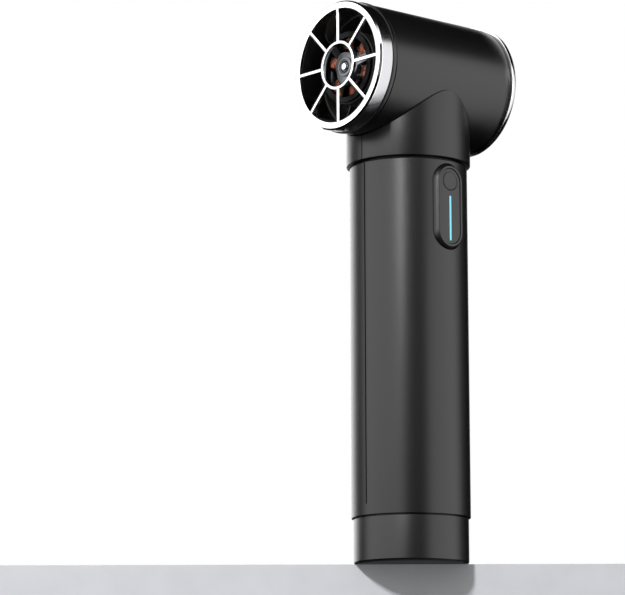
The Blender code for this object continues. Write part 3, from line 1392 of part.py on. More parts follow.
def make_panel(panel):
    """Bezel, plate and light bar, built face up on the panel's own axes: X across, Y up the handle, Z outwards."""
    depth = PANEL_FACE - BEZEL_BACK
    flare_start = PANEL_FLARE_DEPTH
    steps = 10
    bm = bmesh.new()
    loops = []
    face_radius = PANEL_WIDTH / 2
    edge = 0.25 * MM
    for radius, below in (
        (face_radius + PANEL_FLARE, depth),
        (face_radius + PANEL_FLARE, flare_start),
        (face_radius, edge),
        (face_radius - edge, 0.0),
    ):
        points = pill(radius, PANEL_HALF_RUN, steps)
        loops.append([bm.verts.new((x, y, PANEL_FACE - below)) for x, y in points])
    for lower, upper in zip(loops, loops[1:]):
        for i in range(len(lower)):
            j = (i + 1) % len(lower)
            bm.faces.new((lower[i], lower[j], upper[j], upper[i]))
    bm.faces.new(loops[0])
    bm.faces.new(loops[-1])
    bezel = add_object("panel_bezel", bm, black_shell(), panel)
    window = prism("bezel window", pill(WINDOW_RADIUS, PANEL_HALF_RUN, steps), PLATE_BACK - FIT_GAP, PANEL_FACE + MM)
    window.parent = panel
    ledge = WINDOW_RADIUS - PANEL_LEDGE
    hollow = prism("bezel hollow", pill(ledge, PANEL_HALF_RUN, steps), BEZEL_BACK - MM, PANEL_FACE - MM)
    hollow.parent = panel
    flange_room = BUTTON_DIAMETER / 2 + BUTTON_FLANGE + FIT_GAP
    round_hollow = rod("bezel button hollow", BEZEL_BACK - MM, PANEL_FACE - MM, flange_room, INNER_FACETS)
    round_hollow.parent = panel
    round_hollow.location = (0, BUTTON_RISE, 0)
    cut(bezel, window)
    cut(bezel, hollow)
    cut(bezel, round_hollow)
    post_place = PANEL_HALF_RUN + ledge + PANEL_POST_OFFSET
    for side in (-1, 1):
        post = rod(
            "bezel post",
            SWITCH_BOARD_FACE + FIT_GAP,
            FLANGE_BACK - BUTTON_TRAVEL - 2 * FIT_GAP,
            PANEL_POST_DIAMETER / 2,
            TINY_FACETS,
        )
        post.parent = panel
        post.location = (0, side * post_place, 0)
        join(bezel, post)

    plate = prism(
        "panel_plate", pill(WINDOW_RADIUS - INLAY_GAP, PANEL_HALF_RUN, steps), PLATE_BACK, PLATE_FACE, black_shell(), panel
    )
    button_hole = rod(
        "plate button hole", PLATE_BACK - MM, PLATE_FACE + MM, BUTTON_DIAMETER / 2 + INLAY_GAP, INNER_FACETS // 2
    )
    button_hole.parent = panel
    button_hole.location = (0, BUTTON_RISE, 0)
    cut(plate, button_hole)
    half_run = (LIGHT_LENGTH - LIGHT_WIDTH) / 2
    slot = prism("plate light slot", pill(LIGHT_WIDTH / 2 + INLAY_GAP, half_run, 4), PLATE_BACK - MM, PLATE_FACE + MM)
    slot.parent = panel
    slot.location = (0, -LIGHT_DROP, 0)
    cut(plate, slot)
    light = prism(
        "light_bar",
        pill(LIGHT_WIDTH / 2, half_run, 4),
        SWITCH_BOARD_FACE + FIT_GAP,
        PLATE_FACE + FACE_STEP,
        material("cyan light guide", "#8FF2FA", 0.0, 0.3),
        panel,
    )
    light.location = (0, -LIGHT_DROP, 0)


def make_switch(panel, button):
    """Board and switch behind the panel. The plunger is part of what the button moves."""
    half = SWITCH_BOARD_WIDTH / 2
    half_height = SWITCH_BOARD_HEIGHT / 2
    back = SWITCH_BOARD_FACE - BOARD_THICKNESS
    box(
        "switch_board",
        (-half, -half_height, back),
        (half, half_height, SWITCH_BOARD_FACE),
        circuit_board(),
        panel,
    )
    side = SWITCH_SIDE / 2
    switch = box("tact_switch", (-side, -side, SWITCH_BOARD_FACE + INLAY_GAP), (side, side, SWITCH_FACE), dark_nylon())
    switch.parent = panel
    switch.location = (0, BUTTON_RISE, 0)
    plunger_back = PLUNGER_FACE - PLUNGER_LENGTH
    bore = rod(
        "switch bore",
        plunger_back - BUTTON_TRAVEL - INLAY_GAP,
        SWITCH_FACE + MM,
        PLUNGER_DIAMETER / 2 + INLAY_GAP,
        TINY_FACETS,
    )
    bore.parent = panel
    bore.location = (0, BUTTON_RISE, 0)
    cut(switch, bore)
    rod("switch_plunger", plunger_back, PLUNGER_FACE, PLUNGER_DIAMETER / 2, TINY_FACETS, dark_nylon(), button)


def make_power_button(button):
    radius = BUTTON_DIAMETER / 2
    flange = radius + BUTTON_FLANGE
    edge = 0.3 * MM
    turned(
        "power_button",
        [
            (FLANGE_BACK, 0.0),
            (FLANGE_BACK, flange),
            (FLANGE_FACE, flange),
            (FLANGE_FACE, radius - INLAY_GAP / 2),
            (BUTTON_FACE - edge, radius - INLAY_GAP / 2),
            (BUTTON_FACE, radius - edge - INLAY_GAP / 2),
            (BUTTON_FACE, 0.0),
        ],
        INNER_FACETS // 2,
        black_shell(),
        button,
    )


# ---- leads ----


def make_leads():
    """Motor wires from the coils through the tunnel to the controller, battery leads and the charging lead."""
    board_face = -CONTROLLER_OFFSET + BOARD_THICKNESS / 2 + FIT_GAP
    start = HEAD_AXIS - POD_BORE + MOTOR_WIRE_TAIL
    joint = CONTROLLER_TOP - MOTOR_JOINT_DROP
    front = board_face + MOTOR_WIRE_DIAMETER / 2
    for i, name in enumerate(("motor_wire_a", "motor_wire_b", "motor_wire_c")):
        x = (i - 1) * MOTOR_WIRE_SPACING
        y = TUNNEL_AXIAL
        end_y = -CONTROLLER_WIDTH / 2 + MOTOR_JOINT_INSET + i * MOTOR_JOINT_SPACING
        lead(
            name,
            [
                (x, y, start),
                (x, y, HEAD_AXIS - BARREL_RADIUS),
                (x, y, NECK_BOTTOM + LEAD_RISE),
                (front + FIT_GAP, (y + end_y) / 2, SPIGOT_BOTTOM + LEAD_RISE),
                (front, end_y, joint),
                (front, end_y, joint - JOINT_LENGTH),
            ],
            MOTOR_WIRE_DIAMETER,
            "#1E1E22",
            1,
        )
    places = cell_places()
    front = board_face + BATTERY_LEAD_DIAMETER / 2
    joint = CONTROLLER_BOTTOM + BATTERY_JOINT_HEIGHT
    for name, index, colour in (("battery_lead_positive", 0, "#B01E1E"), ("battery_lead_negative", 3, "#16161A")):
        x, y = places[index]
        end_y = math.copysign(BATTERY_JOINT_OFFSET, y)
        lead(
            name,
            [
                (x, y, CELL_TOP + FIT_GAP),
                (x, y, UPPER_HOLDER_TOP + LEAD_RISE),
                ((x + front) / 2, (y + end_y) / 2, CONTROLLER_BOTTOM + LEAD_RISE),
                (front, end_y, joint),
                (front, end_y, joint + JOINT_LENGTH),
            ],
            BATTERY_LEAD_DIAMETER,
            colour,
            1,
        )
    front = board_face + CHARGE_LEAD_DIAMETER / 2
    joint = CONTROLLER_BOTTOM + CHARGE_JOINT_HEIGHT
    lead(
        "charge_lead",
        [
            (0, 0, CHARGE_BOARD_BOTTOM + BOARD_THICKNESS + FIT_GAP),
            (0, 0, CELL_BOTTOM),
            (0, 0, (CELL_BOTTOM + CELL_TOP) / 2),
            (0, 0, UPPER_HOLDER_TOP),
            (front, 0, joint),
            (front, 0, joint + JOINT_LENGTH),
        ],
        CHARGE_LEAD_DIAMETER,
        "#24262A",
        1,
    )


def main():
    clear_scene()
    head = empty("head_frame", (0, 0, HEAD_AXIS), HEAD_TURN)
    rotor = empty("rotor_axis", (0, 0, HEAD_AXIS), HEAD_TURN)
    panel = empty("panel_frame", (0, 0, PANEL_CENTRE), PANEL_TURN)
    button = empty("button_axis", (0, 0, BUTTON_HEIGHT), PANEL_TURN)
    make_head_barrel(head)
    make_outlet_grille(head)
    make_trim_ring(head)
    make_bellmouth(head)
    make_intake_guard(head)
    make_mount_rings(head)
    make_duct_liner(head)
    make_motor_frame(head)
    make_stator(head)
    make_winding(head)
    make_end_bracket(head)
    make_bearings(head, rotor)
    make_rotor(rotor)
    make_impeller(rotor)
    make_neck()
    make_neck_seal()
    make_handle_sleeve()
    make_base_cap()
    make_foot_pad()
    make_base_screws()
    make_charging()
    make_cells()
    make_cell_holders()
    make_cell_links()
    make_controller()
    make_panel(panel)
    make_switch(panel, button)
    make_power_button(button)
    make_leads()


main()
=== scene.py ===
"""Looks of the cordless jet blower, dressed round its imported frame.

The shells that show are rebuilt here with fine facets and rounded edges, at the sizes of the frame's own
boxes. Pieces of the head are drawn along the head's axis, and pieces of the panel face up, before they are
put in place.
"""

import json
import math

import bmesh
import bpy
from mathutils import Matrix, Vector

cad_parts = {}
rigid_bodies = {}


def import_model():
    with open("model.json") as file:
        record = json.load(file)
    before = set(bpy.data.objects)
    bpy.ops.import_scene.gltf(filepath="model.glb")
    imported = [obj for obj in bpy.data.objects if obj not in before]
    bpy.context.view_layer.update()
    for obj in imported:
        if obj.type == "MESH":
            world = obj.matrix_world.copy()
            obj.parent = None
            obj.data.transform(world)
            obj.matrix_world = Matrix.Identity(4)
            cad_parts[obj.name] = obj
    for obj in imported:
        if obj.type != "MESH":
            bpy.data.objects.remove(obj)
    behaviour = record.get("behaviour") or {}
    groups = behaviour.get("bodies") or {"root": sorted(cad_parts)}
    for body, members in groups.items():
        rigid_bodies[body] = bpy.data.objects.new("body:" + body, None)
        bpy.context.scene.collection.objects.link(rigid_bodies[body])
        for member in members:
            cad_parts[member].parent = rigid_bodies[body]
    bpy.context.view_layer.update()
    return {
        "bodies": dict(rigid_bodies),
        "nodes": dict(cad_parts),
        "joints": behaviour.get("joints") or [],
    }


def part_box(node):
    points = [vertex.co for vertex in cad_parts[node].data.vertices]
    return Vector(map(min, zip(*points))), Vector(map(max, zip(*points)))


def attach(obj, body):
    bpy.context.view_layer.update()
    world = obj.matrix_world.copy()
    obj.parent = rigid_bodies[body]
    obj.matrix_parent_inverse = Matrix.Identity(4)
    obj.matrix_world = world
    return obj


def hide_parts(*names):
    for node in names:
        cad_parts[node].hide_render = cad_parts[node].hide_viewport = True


bl_info = {
    "name": "Cordless jet blower",
    "version": (1, 0, 0),
    "blender": (4, 5, 0),
    "location": "3D View > Sidebar > Jet blower",
    "description": "Dresses the packed frame of a hand-held jet blower and sets up its studio",
    "category": "Add Mesh",
}

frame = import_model()
MM = 0.001


# ---- sizes, read from the frame or chosen to fit it ----


def joint_place(name):
    return next(Vector(joint["pos_m"]) for joint in frame["joints"] if joint["name"] == name)


AXIS_HEIGHT = joint_place("rotor_spin").z
BARREL_LOW, BARREL_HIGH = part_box("head_barrel")
GRILLE_LOW, GRILLE_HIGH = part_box("outlet_grille")
TRIM_LOW, TRIM_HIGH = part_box("outlet_trim_ring")
BELL_LOW, BELL_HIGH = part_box("intake_bellmouth")
GUARD_LOW, GUARD_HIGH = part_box("intake_guard")
LINER_LOW, LINER_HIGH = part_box("duct_liner")
POD_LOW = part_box("motor_frame")[0]
CORE_LOW, CORE_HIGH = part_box("stator_core")
BRACKET_LOW, BRACKET_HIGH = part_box("motor_end_bracket")
HUB_LOW, HUB_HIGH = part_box("impeller")
SPINNER_LOW, SPINNER_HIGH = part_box("spinner_nut")
SHAFT_LOW, SHAFT_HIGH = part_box("rotor_shaft")
NECK_LOW, NECK_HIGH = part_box("neck_shell_right")
SEAL_LOW, SEAL_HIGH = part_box("neck_seal_ring")
SLEEVE_LOW, SLEEVE_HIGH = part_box("handle_sleeve")
BEZEL_LOW, BEZEL_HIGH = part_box("panel_bezel")
PLATE_LOW, PLATE_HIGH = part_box("panel_plate")
BUTTON_LOW, BUTTON_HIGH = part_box("power_button")
LIGHT_LOW, LIGHT_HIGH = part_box("light_bar")
CAP_LOW, CAP_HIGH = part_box("base_cap")
FOOT_LOW, FOOT_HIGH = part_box("foot_pad")
SOCKET_LOW, SOCKET_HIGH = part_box("usb_socket")
SCREW_LOW, SCREW_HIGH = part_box("base_screw_2")

CLEARANCE = 0.3 * MM
OVERCUT = 1.0 * MM  # how far a cutter reaches past what it cuts
BARREL_RADIUS = BARREL_HIGH.x
BARREL_WALL = 2.0 * MM
BARREL_BORE = BARREL_RADIUS - BARREL_WALL
SLEEVE_RADIUS = SLEEVE_HIGH.x
SLEEVE_WALL = 1.8 * MM
NECK_RADIUS = NECK_HIGH.x
NECK_WALL = 2.2 * MM
NECK_SEAM = 1.0 * MM
NECK_BOTTOM = SLEEVE_HIGH.z + NECK_SEAM
SADDLE_RADIUS = BARREL_RADIUS + CLEARANCE
SPIGOT_RADIUS = SLEEVE_RADIUS - SLEEVE_WALL - CLEARANCE
SPIGOT_WALL = 2.0 * MM
GRILLE_RADIUS = GRILLE_HIGH.x
SKIRT_RADIUS = BARREL_BORE - CLEARANCE
SKIRT_WALL = 1.14 * MM
OPENING_RADIUS = SKIRT_RADIUS - SKIRT_WALL
BAND_LENGTH = 6.8 * MM
SPOKE_COUNT = 8
SPOKE_WIDTH = 1.65 * MM
SPOKE_DEPTH = 1.6 * MM
EYE_RADIUS = 10.5 * MM
EYE_WIDTH = 1.4 * MM
DUCT_OUTSIDE = LINER_HIGH.x
LINER_WALL = 0.85 * MM
DUCT_RADIUS = DUCT_OUTSIDE - LINER_WALL
CORE_RADIUS = CORE_HIGH.x
POD_BORE = CORE_RADIUS + CLEARANCE
POD_WALL = 1.3 * MM
POD_RADIUS = POD_BORE + POD_WALL
SHAFT_RADIUS = SHAFT_HIGH.x
SHAFT_BORE = SHAFT_RADIUS + 0.06 * MM
BEARING_POCKET = 3.26 * MM
BOSS_RADIUS = BEARING_POCKET + 0.9 * MM
TUNNEL_Y = -12.6 * MM
TUNNEL_HALF = (3.7 * MM, 2.2 * MM)  # half its outside, across and along the head
TUNNEL_HALF_BORE = (2.5 * MM, 1.0 * MM)
WIRE_HOLE_RADIUS = 3.5 * MM
PANEL_CENTRE = (BEZEL_LOW.z + BEZEL_HIGH.z) / 2
PANEL_HALF_WIDTH = BEZEL_HIGH.y
PANEL_HALF_RUN = (BEZEL_HIGH.z - BEZEL_LOW.z) / 2 - PANEL_HALF_WIDTH
PANEL_FLARE = 1.05 * MM
BEZEL_DEPTH = 4.6 * MM
BEZEL_BACK = BEZEL_HIGH.x - BEZEL_DEPTH
BUTTON_RISE = (BUTTON_LOW.z + BUTTON_HIGH.z) / 2 - PANEL_CENTRE
BUTTON_RADIUS = 4.5 * MM
BUTTON_FLANGE = (BUTTON_HIGH.y - BUTTON_LOW.y) / 2
LIGHT_DROP = PANEL_CENTRE - (LIGHT_LOW.z + LIGHT_HIGH.z) / 2
LIGHT_HALF_WIDTH = LIGHT_HIGH.y - 0.15 * MM
LIGHT_HALF_RUN = (LIGHT_HIGH.z - LIGHT_LOW.z) / 2 - LIGHT_HALF_WIDTH

HEAD_PLACE = Matrix.Translation((0, 0, AXIS_HEIGHT)) @ Matrix.Rotation(-math.pi / 2, 4, "X")
PANEL_PLACE = Matrix.Translation((0, 0, PANEL_CENTRE)) @ Matrix(
    ((0, 0, 1, 0), (1, 0, 0, 0), (0, 1, 0, 0), (0, 0, 0, 1))
)
UPRIGHT = Matrix.Identity(4)

ROUND_FACETS = 160
WIDE_FACETS = 128
MIDDLE_FACETS = 96
SMALL_FACETS = 64
SHAFT_FACETS = 48
ARC_STEPS = 5


# ---- colours and nodes ----


def srgb(hex_colour):
    """An sRGB hex colour as linear red, green and blue."""
    channels = [int(hex_colour[i : i + 2], 16) / 255 for i in (1, 3, 5)]
    return tuple(c / 12.92 if c <= 0.04045 else ((c + 0.055) / 1.055) ** 2.4 for c in channels)


def rgba(colour):
    return (*colour[:3], 1.0)


def add_node(tree, kind, inputs=None, **settings):
    """Adds a node with its settings. Inputs hold a value for each socket, or the socket that it links to."""
    node = tree.nodes.new(kind)
    for name, value in settings.items():
        setattr(node, name, value)
    for name, value in (inputs or {}).items():
        if isinstance(value, bpy.types.NodeSocket):
            tree.links.new(value, node.inputs[name])
        else:
            node.inputs[name].default_value = value
    return node


def new_material(name):
    made = bpy.data.materials.new(name)
    made.use_nodes = True
    made.node_tree.nodes.clear()
    return made, made.node_tree


# ---- materials ----

# Most of a noise's values lie between these two, so its range is mapped from them.
NOISE_RANGE = {"From Min": 0.3, "From Max": 0.7}


def moulded_plastic(name, colour, roughness, grain_size, grain_depth, ior=1.46, sheen=0.0):
    """Moulded plastic: the pattern of the mould's spark-eroded wall breaks up the gloss."""
    made, tree = new_material(name)
    cloud_size = 14 * MM
    place = add_node(tree, "ShaderNodeTexCoord").outputs["Object"]
    wall = add_node(tree, "ShaderNodeTexNoise", {"Vector": place, "Scale": 1 / grain_size, "Detail": 3.0})
    cloud = add_node(tree, "ShaderNodeTexNoise", {"Vector": place, "Scale": 1 / cloud_size})
    tone = add_node(
        tree,
        "ShaderNodeMix",
        {"Factor": cloud.outputs["Fac"], 6: rgba([c * 0.86 for c in colour]), 7: rgba(colour)},
        data_type="RGBA",
    )
    gloss = add_node(
        tree,
        "ShaderNodeMapRange",
        {"Value": wall.outputs["Fac"], **NOISE_RANGE, "To Min": roughness - 0.03, "To Max": roughness + 0.03},
    )
    relief = add_node(tree, "ShaderNodeBump", {"Height": wall.outputs["Fac"], "Distance": grain_depth})
    shader = add_node(
        tree,
        "ShaderNodeBsdfPrincipled",
        {
            "Base Color": tone.outputs[2],
            "Roughness": gloss.outputs["Result"],
            "IOR": ior,
            "Sheen Weight": sheen,
            "Normal": relief.outputs["Normal"],
        },
    )
    add_node(tree, "ShaderNodeOutputMaterial", {"Surface": shader.outputs[0]})
    return made


def metal(name, colour, roughness, spread, wave, depth=0.0, anisotropy=0.0):
    """Bare or plated metal: slow waves of the polish bend its reflections a little."""
    made, tree = new_material(name)
    place = add_node(tree, "ShaderNodeTexCoord").outputs["Object"]
    waves = add_node(tree, "ShaderNodeTexNoise", {"Vector": place, "Scale": 1 / wave})
    tone = add_node(
        tree,
        "ShaderNodeMix",
        {"Factor": waves.outputs["Fac"], 6: rgba([c * 0.93 for c in colour]), 7: rgba(colour)},
        data_type="RGBA",
    )
    low, high = max(0.02, roughness - spread), roughness + spread
    polish = add_node(
        tree,
        "ShaderNodeMapRange",
        {"Value": waves.outputs["Fac"], **NOISE_RANGE, "To Min": low, "To Max": high},
    )
    inputs = {
        "Base Color": tone.outputs[2],
        "Metallic": 1.0,
        "Roughness": polish.outputs["Result"],
        "Anisotropic": anisotropy,
    }
    if depth:
        relief = add_node(tree, "ShaderNodeBump", {"Height": waves.outputs["Fac"], "Distance": depth})
        inputs["Normal"] = relief.outputs["Normal"]
    shader = add_node(tree, "ShaderNodeBsdfPrincipled", inputs)
    add_node(tree, "ShaderNodeOutputMaterial", {"Surface": shader.outputs[0]})
    return made


def satin_shell(finish):
    """ABS, moulded and sprayed with a satin black coat: soft wide highlights with no visible texture."""
    name = "ABS, moulded and satin sprayed"
    depth = 0.004 * MM
    return moulded_plastic(name, finish.shell_colour, finish.shell_roughness, finish.shell_grain, depth, 1.45)


def panel_abs(colour, roughness):
    """ABS, moulded in a fine-polished tool: a little glossier than the sprayed coat."""
    return moulded_plastic("ABS, moulded fine", colour, roughness, 0.3 * MM, 0.003 * MM)


def chromed_zinc(finish):
    """Zinc, die cast and chrome plated: mirror-bright, with the casting's slow waves under the plating."""
    name = "zinc, die cast and chrome plated"
    return metal(name, finish.chrome_colour, finish.chrome_roughness, 0.01, 9 * MM, 0.0008 * MM)


def turned_chrome(colour):
    """Zinc, turned and plated: the lathe tool's fine rings grey the plating and soften its reflections."""
    made, tree = new_material("zinc, turned and chrome plated")
    # A lathe's rings are finer than this. They are drawn this coarse so that they show.
    ring_pitch, ring_run = 0.25 * MM, 8 * MM
    across, along = 1 / ring_run, 1 / ring_pitch
    place = add_node(tree, "ShaderNodeTexCoord").outputs["Object"]
    stretched = add_node(tree, "ShaderNodeMapping", {"Vector": place, "Scale": (across, along, across)})
    rings = add_node(
        tree,
        "ShaderNodeTexNoise",
        {"Vector": stretched.outputs["Vector"], "Scale": 1.0, "Detail": 3.0, "Roughness": 0.6},
    )
    tone = add_node(
        tree,
        "ShaderNodeMix",
        {"Factor": rings.outputs["Fac"], 6: rgba([c * 0.9 for c in colour]), 7: rgba(colour)},
        data_type="RGBA",
    )
    polish = add_node(
        tree,
        "ShaderNodeMapRange",
        {"Value": rings.outputs["Fac"], **NOISE_RANGE, "To Min": 0.16, "To Max": 0.24},
    )
    relief = add_node(tree, "ShaderNodeBump", {"Height": rings.outputs["Fac"], "Distance": 0.002 * MM})
    shader = add_node(
        tree,
        "ShaderNodeBsdfPrincipled",
        {
            "Base Color": tone.outputs[2],
            "Metallic": 1.0,
            "Roughness": polish.outputs["Result"],
            "Normal": relief.outputs["Normal"],
        },
    )
    add_node(tree, "ShaderNodeOutputMaterial", {"Surface": shader.outputs[0]})
    return made


def glass_filled_nylon():
    """Nylon with glass fibre, moulded: dull black-brown and dry-looking."""
    name = "nylon, glass filled and moulded"
    return moulded_plastic(name, srgb("#161412"), 0.5, 0.5 * MM, 0.02 * MM, 1.5)


def silicone_rubber():
    """Silicone rubber, moulded: matte and dusty black."""
    name = "silicone rubber, moulded"
    return moulded_plastic(name, srgb("#121213"), 0.72, 0.4 * MM, 0.02 * MM, 1.42, 0.1)


def light_guide_acrylic(colour, strength):
    """Acrylic, opal moulded, lit from behind: an even glow that deepens towards its edges."""
    made, tree = new_material("acrylic, opal moulded and lit")
    facing = add_node(tree, "ShaderNodeLayerWeight", {"Blend": 0.5})
    middle, rim = [0.85 * c + 0.15 for c in colour], [0.6 * c for c in colour]
    tone = add_node(
        tree,
        "ShaderNodeMix",
        {"Factor": facing.outputs["Facing"], 6: rgba(middle), 7: rgba(rim)},
        data_type="RGBA",
    )
    shader = add_node(
        tree,
        "ShaderNodeBsdfPrincipled",
        {
            "Base Color": rgba([0.1 * c for c in colour]),
            "Roughness": 0.3,
            "IOR": 1.49,
            "Emission Color": tone.outputs[2],
            "Emission Strength": strength,
        },
    )
    add_node(tree, "ShaderNodeOutputMaterial", {"Surface": shader.outputs[0]})
    return made


def enamelled_copper():
    """Copper wire, enamelled and varnished: orange-brown, with near-black patches at random that are painted
    shade for the dark inside of the motor.
    """
    made, tree = new_material("copper wire, enamelled")
    patch_size = 3.0 * MM
    place = add_node(tree, "ShaderNodeTexCoord").outputs["Object"]
    # Near-black patches at random: painted shade, standing in for the dark inside of the motor.
    painted_shade_patches = add_node(tree, "ShaderNodeTexNoise", {"Vector": place, "Scale": 1 / patch_size, "Detail": 3.0})
    share = add_node(
        tree,
        "ShaderNodeMapRange",
        {"Value": painted_shade_patches.outputs["Fac"], "From Min": 0.44, "From Max": 0.6, "To Min": 0.0, "To Max": 1.0},
    )
    tone = add_node(
        tree,
        "ShaderNodeMix",
        {"Factor": share.outputs["Result"], 6: rgba(srgb("#1E0B05")), 7: rgba(srgb("#9A4E2C"))},
        data_type="RGBA",
    )
    shader = add_node(
        tree,
        "ShaderNodeBsdfPrincipled",
        {
            "Base Color": tone.outputs[2],
            "Metallic": 1.0,
            "Roughness": 0.14,
            "Coat Weight": 0.6,
            "Coat Roughness": 0.1,
        },
    )
    add_node(tree, "ShaderNodeOutputMaterial", {"Surface": shader.outputs[0]})
    return made


def laminated_steel():
    """Silicon steel, stamped and stacked: fine lines across the axis from the edges of the sheets."""
    made, tree = new_material("silicon steel, stamped and stacked")
    sheet = 0.5 * MM
    place = add_node(tree, "ShaderNodeTexCoord").outputs["Object"]
    bands = add_node(
        tree,
        "ShaderNodeTexWave",
        {"Vector": place, "Scale": 1 / (20 * sheet), "Distortion": 0.0},
        bands_direction="Y",
    )
    tone = add_node(
        tree,
        "ShaderNodeMix",
        {"Factor": bands.outputs["Fac"], 6: rgba(srgb("#2E2F31")), 7: rgba(srgb("#6A6C70"))},
        data_type="RGBA",
    )
    relief = add_node(tree, "ShaderNodeBump", {"Height": bands.outputs["Fac"], "Distance": 0.05 * MM})
    shader = add_node(
        tree,
        "ShaderNodeBsdfPrincipled",
        {
            "Base Color": tone.outputs[2],
            "Metallic": 1.0,
            "Roughness": 0.42,
            "Normal": relief.outputs["Normal"],
        },
    )
    add_node(tree, "ShaderNodeOutputMaterial", {"Surface": shader.outputs[0]})
    return made


def cast_aluminium(name, colour, roughness, grain_size=0.7 * MM):
    """Aluminium, die cast: a fine orange-peel skin, grey rather than bright."""
    return metal(name, colour, roughness, 0.06, grain_size, 0.03 * MM)


def solder_mask():
    """Glass-epoxy board under green solder mask: glossy, with the tracks' pattern just showing."""
    made, tree = new_material("glass epoxy, solder masked")
    # The tracks are drawn far coarser than real ones, so that they show.
    track_pitch = 8 * MM
    place = add_node(tree, "ShaderNodeTexCoord").outputs["Object"]
    tracks = add_node(
        tree,
        "ShaderNodeTexBrick",
        {
            "Vector": place,
            "Color1": rgba(srgb("#0F3B25")),
            "Color2": rgba(srgb("#16492F")),
            "Mortar": rgba(srgb("#2C6E48")),
            "Scale": 1 / track_pitch,
            "Mortar Size": 0.03,
        },
    )
    shader = add_node(
        tree,
        "ShaderNodeBsdfPrincipled",
        {"Base Color": tracks.outputs["Color"], "Roughness": 0.28, "IOR": 1.5},
    )
    add_node(tree, "ShaderNodeOutputMaterial", {"Surface": shader.outputs[0]})
    return made


# ---- meshes ----


def arc(centre, radius, start, end, steps):
    """The points of an arc round a centre, from one angle to another."""
    angles = [start + (end - start) * i / steps for i in range(steps + 1)]
    return [(centre[0] + radius * math.cos(a), centre[1] + radius * math.sin(a)) for a in angles]


def rounded(corners):
    """An outline of (axial, radius, rounding) corners, with an arc of its rounding at each corner."""
    points = []
    count = len(corners)
    for i, (axial, radius, rounding) in enumerate(corners):
        here = Vector((axial, radius))
        to_last = (Vector(corners[i - 1][:2]) - here).normalized()
        to_next = (Vector(corners[(i + 1) % count][:2]) - here).normalized()
        half = to_last.angle(to_next) / 2
        if not rounding or half > math.radians(89):
            points.append(here)
            continue
        centre = here + (to_last + to_next).normalized() * (rounding / math.sin(half))
        start = here + to_last * (rounding / math.tan(half)) - centre
        end = here + to_next * (rounding / math.tan(half)) - centre
        sweep = start.angle_signed(end)
        for k in range(ARC_STEPS + 1):
            angle = -sweep * k / ARC_STEPS
            x = start.x * math.cos(angle) - start.y * math.sin(angle)
            y = start.x * math.sin(angle) + start.y * math.cos(angle)
            points.append(centre + Vector((x, y)))
    return [tuple(point) for point in points]


def spun(outline, facets):
    """A bmesh of an outline of (axial, radius) points, turned once round the Z axis."""
    bm = bmesh.new()
    ring = [bm.verts.new((max(radius, 0.0), 0.0, axial)) for axial, radius in outline]
    for here, there in zip(ring, ring[1:] + ring[:1]):
        if here.co.x > 0 or there.co.x > 0:
            bm.edges.new((here, there))
    bmesh.ops.spin(
        bm,
        geom=bm.verts[:] + bm.edges[:],
        cent=(0, 0, 0),
        axis=(0, 0, 1),
        angle=2 * math.pi,
        steps=facets,
        use_merge=True,
    )
    bmesh.ops.remove_doubles(bm, verts=bm.verts, dist=0.001 * MM)
    return bm


def placed(name, data):
    """Makes an object of its data and links it to the scene."""
    made = bpy.data.objects.new(name, data)
    bpy.context.scene.collection.objects.link(made)
    return made


def raw(name, bm, place=UPRIGHT):
    """Makes an object of a bmesh, put in place and with its faces turned outwards."""
    bm.transform(place)
    bmesh.ops.recalc_face_normals(bm, faces=bm.faces)
    mesh = bpy.data.meshes.new(name)
    bm.to_mesh(mesh)
    bm.free()
    return placed(name, mesh)


def turned(name, corners, place=UPRIGHT, facets=ROUND_FACETS):
    """A turned piece, from the corners of its outline."""
    return raw(name, spun(rounded(corners), facets), place)


def tube(name, low, high, inner, outer, rounding, place=UPRIGHT, facets=ROUND_FACETS):
    """A round tube whose four edges are rounded alike."""
    corners = [(low, inner), (high, inner), (high, outer), (low, outer)]
    return turned(name, [(*corner, rounding) for corner in corners], place, facets)


def drum(name, low, high, radius, place=UPRIGHT, facets=SMALL_FACETS, centre=(0.0, 0.0)):
    """A closed cylinder between two heights."""
    bm = spun([(low, 0.0), (high, 0.0), (high, radius), (low, radius)], facets)
    bmesh.ops.translate(bm, verts=bm.verts, vec=(*centre, 0.0))
    return raw(name, bm, place)


def block(name, low, high):
    """A box between two corners."""
    bm = bmesh.new()
    low, high = Vector(low), Vector(high)
    matrix = Matrix.Translation((low + high) / 2) @ Matrix.Diagonal((*(high - low), 1.0))
    bmesh.ops.create_cube(bm, size=1.0, matrix=matrix)
    return raw(name, bm)


def bar(name, angle, start, end, width, low, high):
    """A bar across the head at an angle round its axis, between two radii and two places along the axis."""
    bm = bmesh.new()
    matrix = (
        Matrix.Rotation(angle, 4, "Z")
        @ Matrix.Translation(((start + end) / 2, 0, (low + high) / 2))
        @ Matrix.Diagonal((end - start, width, high - low, 1))
    )
    bmesh.ops.create_cube(bm, size=1.0, matrix=matrix)
    return raw(name, bm, HEAD_PLACE)


def loops_to_bmesh(loops, closed_along=False):
    """Skins a row of loops with equal numbers of points, and caps its ends unless the row itself closes."""
    bm = bmesh.new()
    rows = [[bm.verts.new(point) for point in loop] for loop in loops]
    pairs = list(zip(rows, rows[1:]))
    if closed_along:
        pairs.append((rows[-1], rows[0]))
    else:
        bm.faces.new(rows[0])
        bm.faces.new(rows[-1])
    for lower, upper in pairs:
        for i in range(len(lower)):
            j = (i + 1) % len(lower)
            bm.faces.new((lower[i], lower[j], upper[j], upper[i]))
    return bm


def pill(radius, half_run, height, steps=28, centre=(0.0, 0.0)):
    """A stadium that is long in Y, at a height."""
    x, y = centre
    points = arc((x, y + half_run), radius, 0, math.pi, steps)
    points += arc((x, y - half_run), radius, math.pi, 2 * math.pi, steps)
    return [(*point, height) for point in points]


